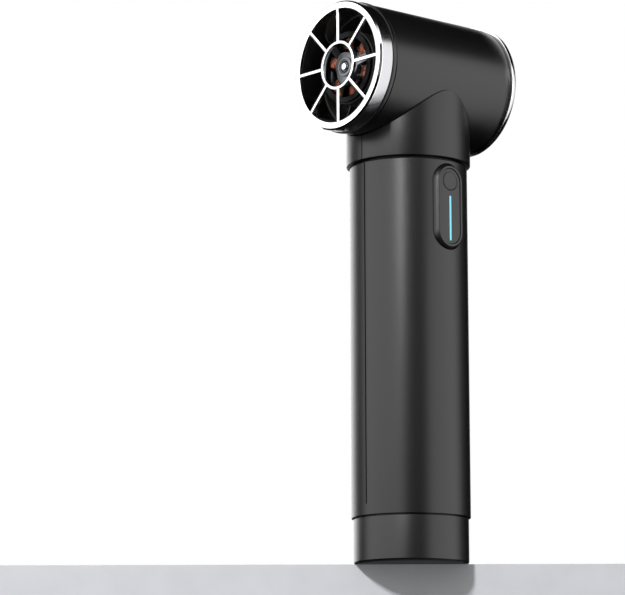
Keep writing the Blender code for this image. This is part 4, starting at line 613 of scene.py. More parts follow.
def panel_pill(name, rows, half_run, closed_along=False, **outline):
    """A pill-shaped piece of the control panel, from rows of (half width, height)."""
    loops = [pill(half_width, half_run, height, **outline) for half_width, height in rows]
    return raw(name, loops_to_bmesh(loops, closed_along), PANEL_PLACE)


def combine(target, tool, operation):
    """Joins, cuts or keeps with the exact solver, and leaves the result as the target's own mesh."""
    change = target.modifiers.new(operation, "BOOLEAN")
    change.operation = operation
    change.solver = "EXACT"
    change.object = tool
    settle(target)
    bpy.data.objects.remove(tool, do_unlink=True)
    return target


def settle(target):
    """Turns what the target's modifiers make into its own mesh."""
    bpy.context.view_layer.update()
    shown = target.evaluated_get(bpy.context.evaluated_depsgraph_get())
    mesh = bpy.data.meshes.new_from_object(shown)
    target.modifiers.clear()
    target.data = mesh
    return target


def softened(target, width, segments=2, angle=32):
    """Rounds the target's sharp edges."""
    change = target.modifiers.new("edges", "BEVEL")
    change.width = width
    change.segments = segments
    change.limit_method = "ANGLE"
    change.angle_limit = math.radians(angle)
    change.harden_normals = False
    return settle(target)


def dress(target, look, body, nodes, sharp_angle=28):
    """Gives a finished piece its shading, finish, body, and the nodes that it stands for."""
    target.data.materials.clear()
    target.data.materials.append(look)
    target.data.shade_smooth()
    target.data.set_sharp_from_angle(angle=math.radians(sharp_angle))
    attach(target, body)
    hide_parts(*nodes)
    return target


def twisted_blade(bm, stations, count_along):
    """Adds one closed blade. Each station is (radius, thickness, function from 0..1 to (angle, axial)).

    The blade is thickest in its middle and thins towards both edges.
    """
    sections = []
    for radius, thickness, camber in stations:
        front, back = [], []
        for i in range(count_along):
            share = 0.5 - 0.5 * math.cos(math.pi * i / (count_along - 1))
            angle, axial = camber(share)
            ahead, behind = camber(min(1.0, share + 0.01)), camber(max(0.0, share - 0.01))
            run = radius * (ahead[0] - behind[0])
            rise = ahead[1] - behind[1]
            slope = math.hypot(run, rise)
            half = thickness / 2 * (0.22 + 0.78 * math.sin(math.pi * (0.04 + 0.92 * share)) ** 0.7)
            turn = half * rise / slope / radius
            lift = half * run / slope
            front.append((angle + turn, axial - lift))
            back.append((angle - turn, axial + lift))
        loop = front + back[::-1]
        sections.append([(radius * math.cos(a), radius * math.sin(a), z) for a, z in loop])
    rows = [[bm.verts.new(point) for point in section] for section in sections]
    for inner, outer in zip(rows, rows[1:]):
        for i in range(len(inner)):
            j = (i + 1) % len(inner)
            bm.faces.new((inner[i], inner[j], outer[j], outer[i]))
    for section in (rows[0], rows[-1]):
        half = len(section) // 2
        for i in range(half - 1):
            bm.faces.new((section[i], section[i + 1], section[-i - 2], section[-i - 1]))


# ---- what a user would change ----


class BLOWER_PG_finish(bpy.types.PropertyGroup):
    """Colours and finishes of the blower."""

    shell_colour: bpy.props.FloatVectorProperty(
        name="Shell",
        description="Colour of the satin coat",
        default=srgb("#0C0C0D"),
        min=0,
        max=1,
        subtype="COLOR",
    )
    shell_roughness: bpy.props.FloatProperty(
        name="Shell roughness",
        description="Roughness of the satin coat",
        default=0.35,
        min=0,
        max=1,
        subtype="FACTOR",
    )
    shell_grain: bpy.props.FloatProperty(
        name="Shell grain",
        description="Grain of the sprayed coat",
        default=0.35 * MM,
        min=0.1 * MM,
        unit="LENGTH",
    )
    panel_roughness: bpy.props.FloatProperty(
        name="Panel roughness",
        description="Roughness of the panel",
        default=0.38,
        min=0,
        max=1,
        subtype="FACTOR",
    )
    chrome_colour: bpy.props.FloatVectorProperty(
        name="Chrome",
        description="Tint of the plating",
        default=srgb("#E9E9EA"),
        min=0,
        max=1,
        subtype="COLOR",
    )
    chrome_roughness: bpy.props.FloatProperty(
        name="Chrome roughness",
        description="Roughness of the plating",
        default=0.12,
        min=0,
        max=1,
        subtype="FACTOR",
    )
    band_colour: bpy.props.FloatVectorProperty(
        name="Turned band",
        description="Tint of the turned band's plating",
        default=srgb("#A4A4A6"),
        min=0,
        max=1,
        subtype="COLOR",
    )
    light_colour: bpy.props.FloatVectorProperty(
        name="Light bar",
        description="Colour of the lit bar",
        default=srgb("#5FE4F8"),
        min=0,
        max=1,
        subtype="COLOR",
    )
    light_strength: bpy.props.FloatProperty(
        name="Light strength",
        description="How brightly the bar glows",
        default=1.0,
        min=0,
        soft_max=4,
    )


class BLOWER_PG_sizes(bpy.types.PropertyGroup):
    """Fine sizes that the frame leaves open."""

    edge: bpy.props.FloatProperty(
        name="Edge",
        description="Rounding of the shells' edges",
        default=0.3 * MM,
        min=0.05 * MM,
        unit="LENGTH",
    )
    face_bevel: bpy.props.FloatProperty(
        name="Face bevel",
        description="Width of the bevel on the outlet's rim",
        default=0.7 * MM,
        min=0.2 * MM,
        unit="LENGTH",
    )
    wire: bpy.props.FloatProperty(
        name="Wire",
        description="Diameter of the winding's wire",
        default=0.74 * MM,
        min=0.2 * MM,
        unit="LENGTH",
    )
    groove: bpy.props.FloatProperty(
        name="Seam groove",
        description="Width of the sleeve's groove",
        default=0.65 * MM,
        min=0.1 * MM,
        unit="LENGTH",
    )


class BLOWER_PG_studio(bpy.types.PropertyGroup):
    """Light and stage."""

    slab_colour: bpy.props.FloatVectorProperty(
        name="Slab",
        description="Colour of the slab",
        default=srgb("#D6D7DC"),
        min=0,
        max=1,
        subtype="COLOR",
    )
    slab_edge: bpy.props.FloatProperty(
        name="Slab edge",
        description="How far the slab reaches before the handle's axis",
        default=2.5 * MM,
        unit="LENGTH",
    )
    room_level: bpy.props.FloatProperty(
        name="Room level",
        description="Strength of the room's own light",
        default=0.32,
        min=0,
        soft_max=2,
    )
    lamp_level: bpy.props.FloatProperty(
        name="Lamp level",
        description="Factor on all lamps",
        default=1.0,
        min=0,
        soft_max=4,
    )


# ---- head ----


class BLOWER_OT_barrel(bpy.types.Operator):
    """Barrel and the thin black ring between it and the chromed band"""

    bl_idname = "blower.barrel"
    bl_label = "Barrel"

    def execute(self, context):
        finish = context.scene.blower_finish
        edge = context.scene.blower_sizes.edge
        look = satin_shell(finish)
        barrel = tube("barrel", BARREL_LOW.y, BARREL_HIGH.y, BARREL_BORE, BARREL_RADIUS, edge, HEAD_PLACE)
        low, high = AXIS_HEIGHT - BARREL_RADIUS - OVERCUT, AXIS_HEIGHT - BARREL_BORE + OVERCUT
        wire_hole = drum("wire hole", low, high, WIRE_HOLE_RADIUS, centre=(0, TUNNEL_Y))
        combine(barrel, wire_hole, "DIFFERENCE")
        dress(barrel, look, "blower", ["head_barrel"])
        inside, outside = SKIRT_RADIUS + CLEARANCE, TRIM_HIGH.x
        ring = turned(
            "trim_ring",
            [
                (TRIM_LOW.y, inside, 0.1 * MM),
                (TRIM_HIGH.y, inside, 0.1 * MM),
                (TRIM_HIGH.y, outside, 0.35 * MM),
                (TRIM_LOW.y, outside, 0.35 * MM),
            ],
            HEAD_PLACE,
        )
        dress(ring, panel_abs(finish.shell_colour, 0.3), "blower", ["outlet_trim_ring"])
        return {"FINISHED"}


def spoke(angle, start, end, face):
    """A bar with a flat front whose long edges are rounded, and a narrower back."""
    half, taper = SPOKE_WIDTH / 2, 0.3 * MM
    fall, middle = 0.4 * MM, 0.12 * MM
    section = [(-half, face + fall), (-half + middle, face + middle), (-half + fall, face)]
    section += [(-y, z) for y, z in reversed(section)]
    section += [(half - taper, face + SPOKE_DEPTH), (-half + taper, face + SPOKE_DEPTH)]
    bm = loops_to_bmesh([[(x, y, z) for y, z in section] for x in (start, end)])
    bmesh.ops.rotate(bm, verts=bm.verts, cent=(0, 0, 0), matrix=Matrix.Rotation(angle, 3, "Z"))
    return raw("spoke", bm, HEAD_PLACE)


class BLOWER_OT_grille(bpy.types.Operator):
    """Chromed outlet: rounded rim with its side band, eight spokes and the open eye"""

    bl_idname = "blower.grille"
    bl_label = "Outlet grille"

    def execute(self, context):
        finish = context.scene.blower_finish
        bevel = context.scene.blower_sizes.face_bevel
        face, skirt_end = GRILLE_LOW.y, GRILLE_HIGH.y
        bevel_slope = math.radians(55)
        bevel_end = face + bevel * math.tan(bevel_slope)
        band_start, band_end = bevel_end + 0.2 * MM, face + BAND_LENGTH
        band_bore = SKIRT_RADIUS + 0.02 * MM
        grille = turned(
            "grille",
            [
                (skirt_end, OPENING_RADIUS, 0.2 * MM),
                (face, OPENING_RADIUS, 0.3 * MM),
                (face, GRILLE_RADIUS - bevel, 0.15 * MM),
                (bevel_end, GRILLE_RADIUS, 0.12 * MM),
                (band_start, GRILLE_RADIUS, 0.0),
                (band_start, SKIRT_RADIUS, 0.0),
                (skirt_end, SKIRT_RADIUS, 0.2 * MM),
            ],
            HEAD_PLACE,
        )
        sunk = 0.05 * MM
        eye_face, eye_back = face + sunk, face + SPOKE_DEPTH + sunk
        eye = turned(
            "eye",
            [
                (eye_face, EYE_RADIUS - EYE_WIDTH, 0.3 * MM),
                (eye_back, EYE_RADIUS - EYE_WIDTH, 0.15 * MM),
                (eye_back, EYE_RADIUS, 0.15 * MM),
                (eye_face, EYE_RADIUS, 0.3 * MM),
            ],
            HEAD_PLACE,
            MIDDLE_FACETS,
        )
        start, end = EYE_RADIUS - EYE_WIDTH / 2, OPENING_RADIUS + 0.5 * MM
        for i in range(SPOKE_COUNT):
            angle = 2 * math.pi * i / SPOKE_COUNT
            combine(eye, spoke(angle, start, end, face + 2 * sunk), "UNION")
        combine(grille, eye, "UNION")
        look = chromed_zinc(finish)
        dress(grille, look, "blower", ["outlet_grille"], sharp_angle=25)
        band = turned(
            "grille_band",
            [
                (band_start, band_bore, 0.0),
                (band_start, GRILLE_RADIUS, 0.0),
                (band_end, GRILLE_RADIUS, 0.2 * MM),
                (band_end, band_bore, 0.0),
            ],
            HEAD_PLACE,
        )
        dress(band, turned_chrome(finish.band_colour), "blower", ["outlet_grille"], sharp_angle=25)
        return {"FINISHED"}


class BLOWER_OT_intake(bpy.types.Operator):
    """Chromed bellmouth and the finger guard in its throat"""

    bl_idname = "blower.intake"
    bl_label = "Intake"

    def execute(self, context):
        finish = context.scene.blower_finish
        lip, end, throat_start = BELL_HIGH.x, BELL_HIGH.y, BELL_LOW.y
        throat_length, lip_gap, roll = 10.5 * MM, 0.12 * MM, 0.8 * MM
        throat_end = throat_start + throat_length
        lip_start = BARREL_HIGH.y + lip_gap
        corners = [(throat_start, SKIRT_RADIUS, 0.15 * MM), (throat_start, DUCT_RADIUS, 0.15 * MM)]
        bell_radius = lip - roll - DUCT_RADIUS
        steps = 14
        for i in range(steps):
            angle = math.pi / 2 * i / steps
            axial = throat_end + (end - throat_end) * math.sin(angle)
            corners.append((axial, DUCT_RADIUS + bell_radius * (1 - math.cos(angle)), 0.0))
        corners += [
            (end, lip - roll, 0.0),
            (end, lip - 0.45 * MM, 0.3 * MM),
            (lip_start + 0.05 * MM, lip, 0.08 * MM),
            (lip_start, lip - 0.3 * MM, 0.0),
            (lip_start, SKIRT_RADIUS, 0.0),
        ]
        bell = turned("bellmouth", corners, HEAD_PLACE)
        look = chromed_zinc(finish)
        dress(bell, look, "blower", ["intake_bellmouth"])
        self.make_guard()
        return {"FINISHED"}

    def make_guard(self):
        low, high, rim = GUARD_LOW.y, GUARD_HIGH.y, GUARD_HIGH.x
        width, rib_width, pitch, rounding = 1.0 * MM, 0.9 * MM, 6.9 * MM, 0.25 * MM
        sunk = 0.05 * MM
        guard = tube("finger_guard", low, high, rim - width, rim, rounding, HEAD_PLACE)
        for i in (1, 2):
            outer = rim - i * pitch
            sizes = (low + sunk, high - sunk, outer - width, outer, rounding)
            combine(guard, tube("hoop", *sizes, HEAD_PLACE, MIDDLE_FACETS), "UNION")
        reach = rim - width / 2
        for i in range(3):
            angle = math.pi * (i + 0.5) / 3
            inset = 0.2 * MM * (i + 1) / 3
            rib = bar("rib", angle, -reach, reach, rib_width, low + inset, high - inset)
            combine(guard, rib, "UNION")
        dress(guard, glass_filled_nylon(), "blower", ["intake_guard"])


# ---- duct and motor ----


class BLOWER_OT_duct(bpy.types.Operator):
    """Duct liner with the motor's pod, guide vanes and wire tunnel"""

    bl_idname = "blower.duct"
    bl_label = "Duct"

    def execute(self, context):
        liner = tube("liner", LINER_LOW.y, LINER_HIGH.y, DUCT_RADIUS, DUCT_OUTSIDE, 0.2 * MM, HEAD_PLACE)
        combine(liner, self.tunnel_bore(), "DIFFERENCE")
        dress(liner, glass_filled_nylon(), "blower", ["duct_liner"])
        self.make_pod()
        return {"FINISHED"}

    def tunnel_bore(self):
        """The hollow of the tunnel that leads the motor wires out of the pod."""
        half_width, half_length = TUNNEL_HALF_BORE
        low = (-half_width, TUNNEL_Y - half_length, AXIS_HEIGHT - DUCT_OUTSIDE - OVERCUT)
        high = (half_width, TUNNEL_Y + half_length, AXIS_HEIGHT - POD_BORE + OVERCUT)
        return block("tunnel bore", low, high)

    def make_pod(self):
        pod_start = POD_LOW.y
        hub_gap, end_wall, seat_length = 0.5 * MM, 1.5 * MM, 3.2 * MM
        pod_end = HUB_LOW.y - hub_gap
        wall_start, seat_start = pod_end - end_wall, pod_end - seat_length
        pod = turned(
            "motor_pod",
            [
                (pod_start, POD_RADIUS, 0.3 * MM),
                (pod_start, POD_BORE, 0.3 * MM),
                (wall_start, POD_BORE, 0.4 * MM),
                (wall_start, BOSS_RADIUS, 0.3 * MM),
                (seat_start, BOSS_RADIUS, 0.2 * MM),
                (seat_start, BEARING_POCKET, 0.1 * MM),
                (pod_end, BEARING_POCKET, 0.1 * MM),
                (pod_end, POD_RADIUS, 0.5 * MM),
            ],
            HEAD_PLACE,
        )
        half_width, half_length = TUNNEL_HALF
        root = 0.7 * MM
        low = (-half_width, TUNNEL_Y - half_length, AXIS_HEIGHT - DUCT_OUTSIDE)
        high = (half_width, TUNNEL_Y + half_length, AXIS_HEIGHT - POD_RADIUS + root)
        tunnel = softened(block("tunnel", low, high), 0.5 * MM, 3)
        combine(pod, self.make_vanes(pod_end - 0.3 * MM), "UNION")
        combine(pod, tunnel, "UNION")
        reach = DUCT_RADIUS - 0.15 * MM
        room = drum("room", pod_start - OVERCUT, pod_end + OVERCUT, reach, HEAD_PLACE, ROUND_FACETS)
        combine(pod, room, "INTERSECT")
        combine(pod, self.tunnel_bore(), "DIFFERENCE")
        dress(pod, glass_filled_nylon(), "blower", ["motor_frame"])

    def make_vanes(self, vane_end):
        """Curved guide vanes, rooted in the pod's wall. They reach past the duct and are trimmed there."""
        bm = bmesh.new()
        count, length, thickness, swirl = 7, 16.0 * MM, 1.0 * MM, math.tan(math.radians(38))
        root, tip, steps = POD_RADIUS - POD_WALL / 2, DUCT_RADIUS + 0.4 * MM, 5
        for i in range(count):
            start = math.pi / 2 + 2 * math.pi * (i + 0.5) / count
            stations = []
            for k in range(steps + 1):
                radius = root + (tip - root) * k / steps
                sweep = length * swirl / radius / 2

                def camber(share, start=start, sweep=sweep):
                    return start + sweep * share**2, vane_end - length * (1 - share)

                stations.append((radius, thickness, camber))
            twisted_blade(bm, stations, 12)
        return raw("vanes", bm, HEAD_PLACE)


def coil_points(half_width, half_length, corner):
    """One turn round a tooth as (across, axial) points, from its outlet side's middle all the way round."""
    points = [(0.0, -half_length)]
    for across, axial, start in ((1, -1, -90), (1, 1, 0), (-1, 1, 90), (-1, -1, 180)):
        centre = (across * (half_width - corner), axial * (half_length - corner))
        points += arc(centre, corner, math.radians(start), math.radians(start + 90), 3)
    return points


def coil_route(tooth_angle, wire):
    """Two layers of close turns on one tooth, outwards on the tooth and back inwards over the first layer."""
    pitch = wire * 1.04
    first_radius, turns = 7.8 * MM, 6
    tooth_half_width, overhang, first_corner = 2.15 * MM, 1.5 * MM, 0.9 * MM
    half_length = (CORE_HIGH.y - CORE_LOW.y) / 2 + overhang + wire / 2
    middle = (CORE_HIGH.y + CORE_LOW.y) / 2
    out = Vector((math.cos(tooth_angle), math.sin(tooth_angle), 0))
    sideways = Vector((-math.sin(tooth_angle), math.cos(tooth_angle), 0))
    route = []
    for layer in (0, 1):
        rise = layer * pitch
        half_width = tooth_half_width + wire / 2 + rise
        loop = coil_points(half_width, half_length + rise, first_corner + rise)
        for turn in range(turns):
            for i, (across, axial) in enumerate(loop):
                along = (turn + i / len(loop)) * pitch
                radius = first_radius + (along if layer == 0 else turns * pitch - along)
                route.append(out * radius + sideways * across + Vector((0, 0, middle + axial)))
    return route


class BLOWER_OT_motor(bpy.types.Operator):
    """Winding and the bracket that shows through the grille"""

    bl_idname = "blower.motor"
    bl_label = "Motor"

    def execute(self, context):
        wire = context.scene.blower_sizes.wire
        curve = bpy.data.curves.new("winding", "CURVE")
        curve.dimensions = "3D"
        curve.bevel_depth = wire / 2
        curve.bevel_resolution = 2
        curve.use_fill_caps = True
        teeth, first_tooth = 6, -40
        for i in range(teeth):
            route = coil_route(math.radians(first_tooth + 360 / teeth * i), wire)
            spline = curve.splines.new("POLY")
            spline.points.add(len(route) - 1)
            for target, point in zip(spline.points, route):
                target.co = (*(HEAD_PLACE @ point), 1.0)
        made = placed("winding", curve)
        curve.materials.append(enamelled_copper())
        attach(made, "blower")
        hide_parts("stator_winding")
        self.make_bracket()
        return {"FINISHED"}

    def hub_plate(self, low, high):
        """The bracket's middle: a round plate with three soft lobes."""
        radius, lobe, first_lobe = 6.7 * MM, 0.55 * MM, math.radians(-10)
        loops = []
        for height in (low, high):
            loop = []
            for i in range(MIDDLE_FACETS):
                angle = 2 * math.pi * i / MIDDLE_FACETS
                reach = radius + lobe * math.cos(3 * (angle - first_lobe))
                loop.append((reach * math.cos(angle), reach * math.sin(angle), height))
            loops.append(loop)
        return loops_to_bmesh(loops)

    def make_bracket(self):
        low, high, rim = BRACKET_LOW.y, BRACKET_HIGH.y, BRACKET_HIGH.x
        boss_height, plate, rim_width, arm_width = 1.0 * MM, 1.3 * MM, 2.5 * MM, 3.4 * MM
        plate_low = low + boss_height
        plate_high = plate_low + plate
        edge, sunk, first_arm = 0.25 * MM, 0.05 * MM, -10
        hoop = tube("bracket_rim", plate_low, plate_high, rim - rim_width, rim, edge, HEAD_PLACE, WIDE_FACETS)
        bracket = raw("end_bracket", self.hub_plate(plate_low + sunk, plate_high - sunk), HEAD_PLACE)
        boss = turned(
            "boss",
            [
                (low, 0.0, 0.0),
                (low, BOSS_RADIUS, 0.35 * MM),
                (high, BOSS_RADIUS, 0.2 * MM),
                (high, 0.0, 0.0),
            ],
            HEAD_PLACE,
            SMALL_FACETS,
        )
        # One arm belongs to the bright hub, from its boss on, and two to the rim, which is painted shade:
        # black where the casting lies in shadow.
        bright_arm = (BOSS_RADIUS, rim - rim_width - sunk)
        painted_shade_arm = (7.5 * MM, rim - rim_width + 2 * sunk)
        for i, (carrier, reach) in enumerate(((bracket, bright_arm), (hoop, painted_shade_arm), (hoop, painted_shade_arm))):
            angle = math.radians(first_arm + 120 * i)
            arm = bar("arm", angle, *reach, arm_width, plate_low + 2 * sunk, plate_high - 2 * sunk)
            combine(carrier, arm, "UNION")
        combine(bracket, boss, "UNION")
        pocket = drum("pocket", low - OVERCUT, high + OVERCUT, BEARING_POCKET, HEAD_PLACE)
        combine(bracket, pocket, "DIFFERENCE")
        softened(bracket, 0.18 * MM)
        # Painted shade: the rim and two of the arms are black because that part of the casting lies in
        # shadow.
        black = cast_aluminium("aluminium, die cast and black_for_painted_shade", srgb("#1D1D1F"), 0.45)
        dress(hoop, black, "blower", ["motor_end_bracket"])
        look = cast_aluminium("aluminium, die cast and blasted", srgb("#77797C"), 0.48)
        dress(bracket, look, "blower", ["motor_end_bracket"])


class BLOWER_OT_rotor(bpy.types.Operator):
    """Impeller, spinner and the shaft, which turn together"""

    bl_idname = "blower.rotor"
    bl_label = "Rotor"

    def execute(self, context):
        steel = metal("steel, ground and polished", srgb("#D9DADC"), 0.16, 0.03, 1.2 * MM, 0.0, 0.4)
        shaft = turned(
            "shaft",
            [
                (SHAFT_LOW.y, 0.0, 0.0),
                (SHAFT_HIGH.y, 0.0, 0.0),
                (SHAFT_HIGH.y, SHAFT_RADIUS, 0.1 * MM),
                (SHAFT_LOW.y, SHAFT_RADIUS, 0.25 * MM),
            ],
            HEAD_PLACE,
            SHAFT_FACETS,
        )
        dress(shaft, steel, "rotor", ["rotor_shaft"])
        self.make_impeller()
        self.make_spinner()
        return {"FINISHED"}

    def make_impeller(self):
        """A hollow hub with a domed nose, and nine blades whose pitch and length grow outwards."""
        start, end = HUB_LOW.y, HUB_HIGH.y
        back, nose, shell, hollow = 14.5 * MM, 4.8 * MM, 1.6 * MM, 7 * MM
        corners = [
            (start, SHAFT_BORE, 0.0),
            (start, SHAFT_BORE + shell, 0.2 * MM),
            (start + hollow, SHAFT_BORE + shell, 0.3 * MM),
            (start + hollow, back - shell, 0.8 * MM),
            (start, back - shell, 0.2 * MM),
        ]
        steps = 20
        straight = 0.3
        for i in range(steps + 1):
            share = i / steps
            fall = max(0.0, (share - straight) / (1 - straight))
            radius = nose + (back - nose) * math.cos(math.pi / 2 * fall) ** 0.9
            corners.append((start + (end - start) * share, radius, 0.0))
        corners.append((end, SHAFT_BORE, 0.0))
        impeller = turned("impeller_blades", corners, HEAD_PLACE, WIDE_FACETS)
        bm = bmesh.new()
        count, stations_out = 9, 8
        root, tip = back - shell * 0.7, DUCT_RADIUS - 0.5 * MM
        root_length, tip_length, blade_gap = 12 * MM, 13 * MM, 0.8 * MM
        middle = start + blade_gap + tip_length / 2
        for i in range(count):
            stations = []
            for k in range(stations_out + 1):
                out = k / stations_out
                radius = root + (tip - root) * out
                length = root_length + (tip_length - root_length) * out
                sweep = length * math.tan(math.radians(34 + 22 * out)) / radius

                def camber(share, angle=2 * math.pi * i / count, sweep=sweep, length=length):
                    bend = share - 0.5 + 0.18 * math.sin(math.pi * share)
                    return angle + sweep * bend, middle + length * (share - 0.5)

                stations.append((radius, (1.0 - 0.4 * out) * MM, camber))
            twisted_blade(bm, stations, 14)
        combine(impeller, raw("blades", bm, HEAD_PLACE), "UNION")
        look = cast_aluminium("aluminium, die cast", srgb("#B4B6B9"), 0.36, 1.0 * MM)
        dress(impeller, look, "rotor", ["impeller"], sharp_angle=40)

    def make_spinner(self):
        base, tip, radius = SPINNER_LOW.y, SPINNER_HIGH.y, SPINNER_HIGH.x
        bore_end = base + 3.9 * MM
        corners = [(base, SHAFT_BORE, 0.0), (base, radius, 0.2 * MM)]
        steps = 12
        for i in range(1, steps):
            angle = math.pi / 2 * i / steps
            corners.append((base + (tip - base) * math.sin(angle), radius * math.cos(angle), 0.0))
        corners += [(tip, 0.0, 0.0), (bore_end, 0.0, 0.0), (bore_end, SHAFT_BORE, 0.0)]
        spinner = turned("spinner", corners, HEAD_PLACE, MIDDLE_FACETS)
        look = metal("aluminium, turned and anodised black", srgb("#3A3C40"), 0.3, 0.04, 0.6 * MM)
        dress(spinner, look, "rotor", ["spinner_nut"])


# ---- neck and handle ----


def saddle_height(x):
    """The height at which the neck's wall ends under the barrel."""
    return AXIS_HEIGHT - math.sqrt(SADDLE_RADIUS**2 - x**2)


def neck_column(angle, edge):
    """The neck's section in the plane through the handle's axis at an angle: a closed loop of points."""
    inner, outer = NECK_RADIUS - NECK_WALL, NECK_RADIUS
    spigot_inner = SPIGOT_RADIUS - SPIGOT_WALL
    shoulder = NECK_BOTTOM + 2.2 * MM
    cosine = math.cos(angle)
    top_in, top_out = saddle_height(inner * cosine), saddle_height((outer - edge) * cosine)
    below = min(edge, 0.35 * MM)
    turn = outer - edge * 0.3
    profile = [
        (spigot_inner, NECK_LOW.z),
        (spigot_inner, shoulder),
        (inner, shoulder),
        (inner, top_in),
        (outer - edge, top_out),
        (turn, saddle_height(turn * cosine) - below * 0.3),
        (outer, saddle_height(outer * cosine) - below),
        (outer, NECK_BOTTOM + edge),
        (turn, NECK_BOTTOM + edge * 0.3),
        (outer - edge, NECK_BOTTOM),
        (SPIGOT_RADIUS, NECK_BOTTOM),
        (SPIGOT_RADIUS, NECK_LOW.z),
    ]
    return [(r * cosine, r * math.sin(angle), z) for r, z in profile]


class BLOWER_OT_neck(bpy.types.Operator):
    """The neck's two shells and the dark ring in the seam below them"""

    bl_idname = "blower.neck"
    bl_label = "Neck"

    def execute(self, context):
        finish = context.scene.blower_finish
        edge = context.scene.blower_sizes.edge
        look = satin_shell(finish)
        half_gap = 0.25 * MM
        gap = math.asin(half_gap / NECK_RADIUS)
        room_front, room_half_width, room_rise = 17.3 * MM, 8.4 * MM, 0.6 * MM
        for side, middle in (("right", 0.0), ("left", math.pi)):
            loops = []
            for i in range(MIDDLE_FACETS + 1):
                angle = middle - math.pi / 2 + gap + (math.pi - 2 * gap) * i / MIDDLE_FACETS
                loops.append(neck_column(angle, edge))
            shell = raw("neck_" + side, loops_to_bmesh(loops))
            if side == "right":
                room = block(
                    "panel room",
                    (room_front, -room_half_width, NECK_LOW.z - OVERCUT),
                    (SPIGOT_RADIUS + 0.1 * MM, room_half_width, BEZEL_HIGH.z + room_rise),
                )
                combine(shell, room, "DIFFERENCE")
            dress(shell, look, "blower", ["neck_shell_" + side])
        bore = SPIGOT_RADIUS + CLEARANCE
        seal = tube("seam_ring", SEAL_LOW.z, SEAL_HIGH.z, bore, SEAL_HIGH.x, 0.2 * MM)
        dress(seal, silicone_rubber(), "blower", ["neck_seal_ring"])
        return {"FINISHED"}


class BLOWER_OT_sleeve(bpy.types.Operator):
    """The handle's long sleeve with its seam groove and the panel's opening"""

    bl_idname = "blower.sleeve"
    bl_label = "Handle sleeve"

    def execute(self, context):
        finish = context.scene.blower_finish
        sizes = context.scene.blower_sizes
        edge = sizes.edge
        bore = SLEEVE_RADIUS - SLEEVE_WALL
        rebate = SEAL_LOW.z - CLEARANCE
        rebate_bore = bore + 1.0 * MM
        sleeve = turned(
            "sleeve",
            [
                (SLEEVE_LOW.z, bore, 0.1 * MM),
                (rebate, bore, 0.0),
                (rebate, rebate_bore, 0.0),
                (SLEEVE_HIGH.z, rebate_bore, 0.1 * MM),
                (SLEEVE_HIGH.z, SLEEVE_RADIUS, edge),
                (SLEEVE_LOW.z, SLEEVE_RADIUS, edge),
            ],
        )
        groove_start, groove_depth = SLEEVE_LOW.z + 4.7 * MM, 0.6 * MM
        groove = block(
            "groove",
            (-sizes.groove / 2, -SLEEVE_RADIUS - OVERCUT, groove_start),
            (sizes.groove / 2, -SLEEVE_RADIUS + groove_depth, SLEEVE_HIGH.z + OVERCUT),
        )
        combine(sleeve, groove, "DIFFERENCE")
        half_width = PANEL_HALF_WIDTH + CLEARANCE / 2
        window_rows = [(half_width, 5 * MM), (half_width, 2 * SLEEVE_RADIUS)]
        combine(sleeve, panel_pill("window", window_rows, PANEL_HALF_RUN), "DIFFERENCE")
        look = satin_shell(finish)
        dress(sleeve, look, "blower", ["handle_sleeve"])
        return {"FINISHED"}


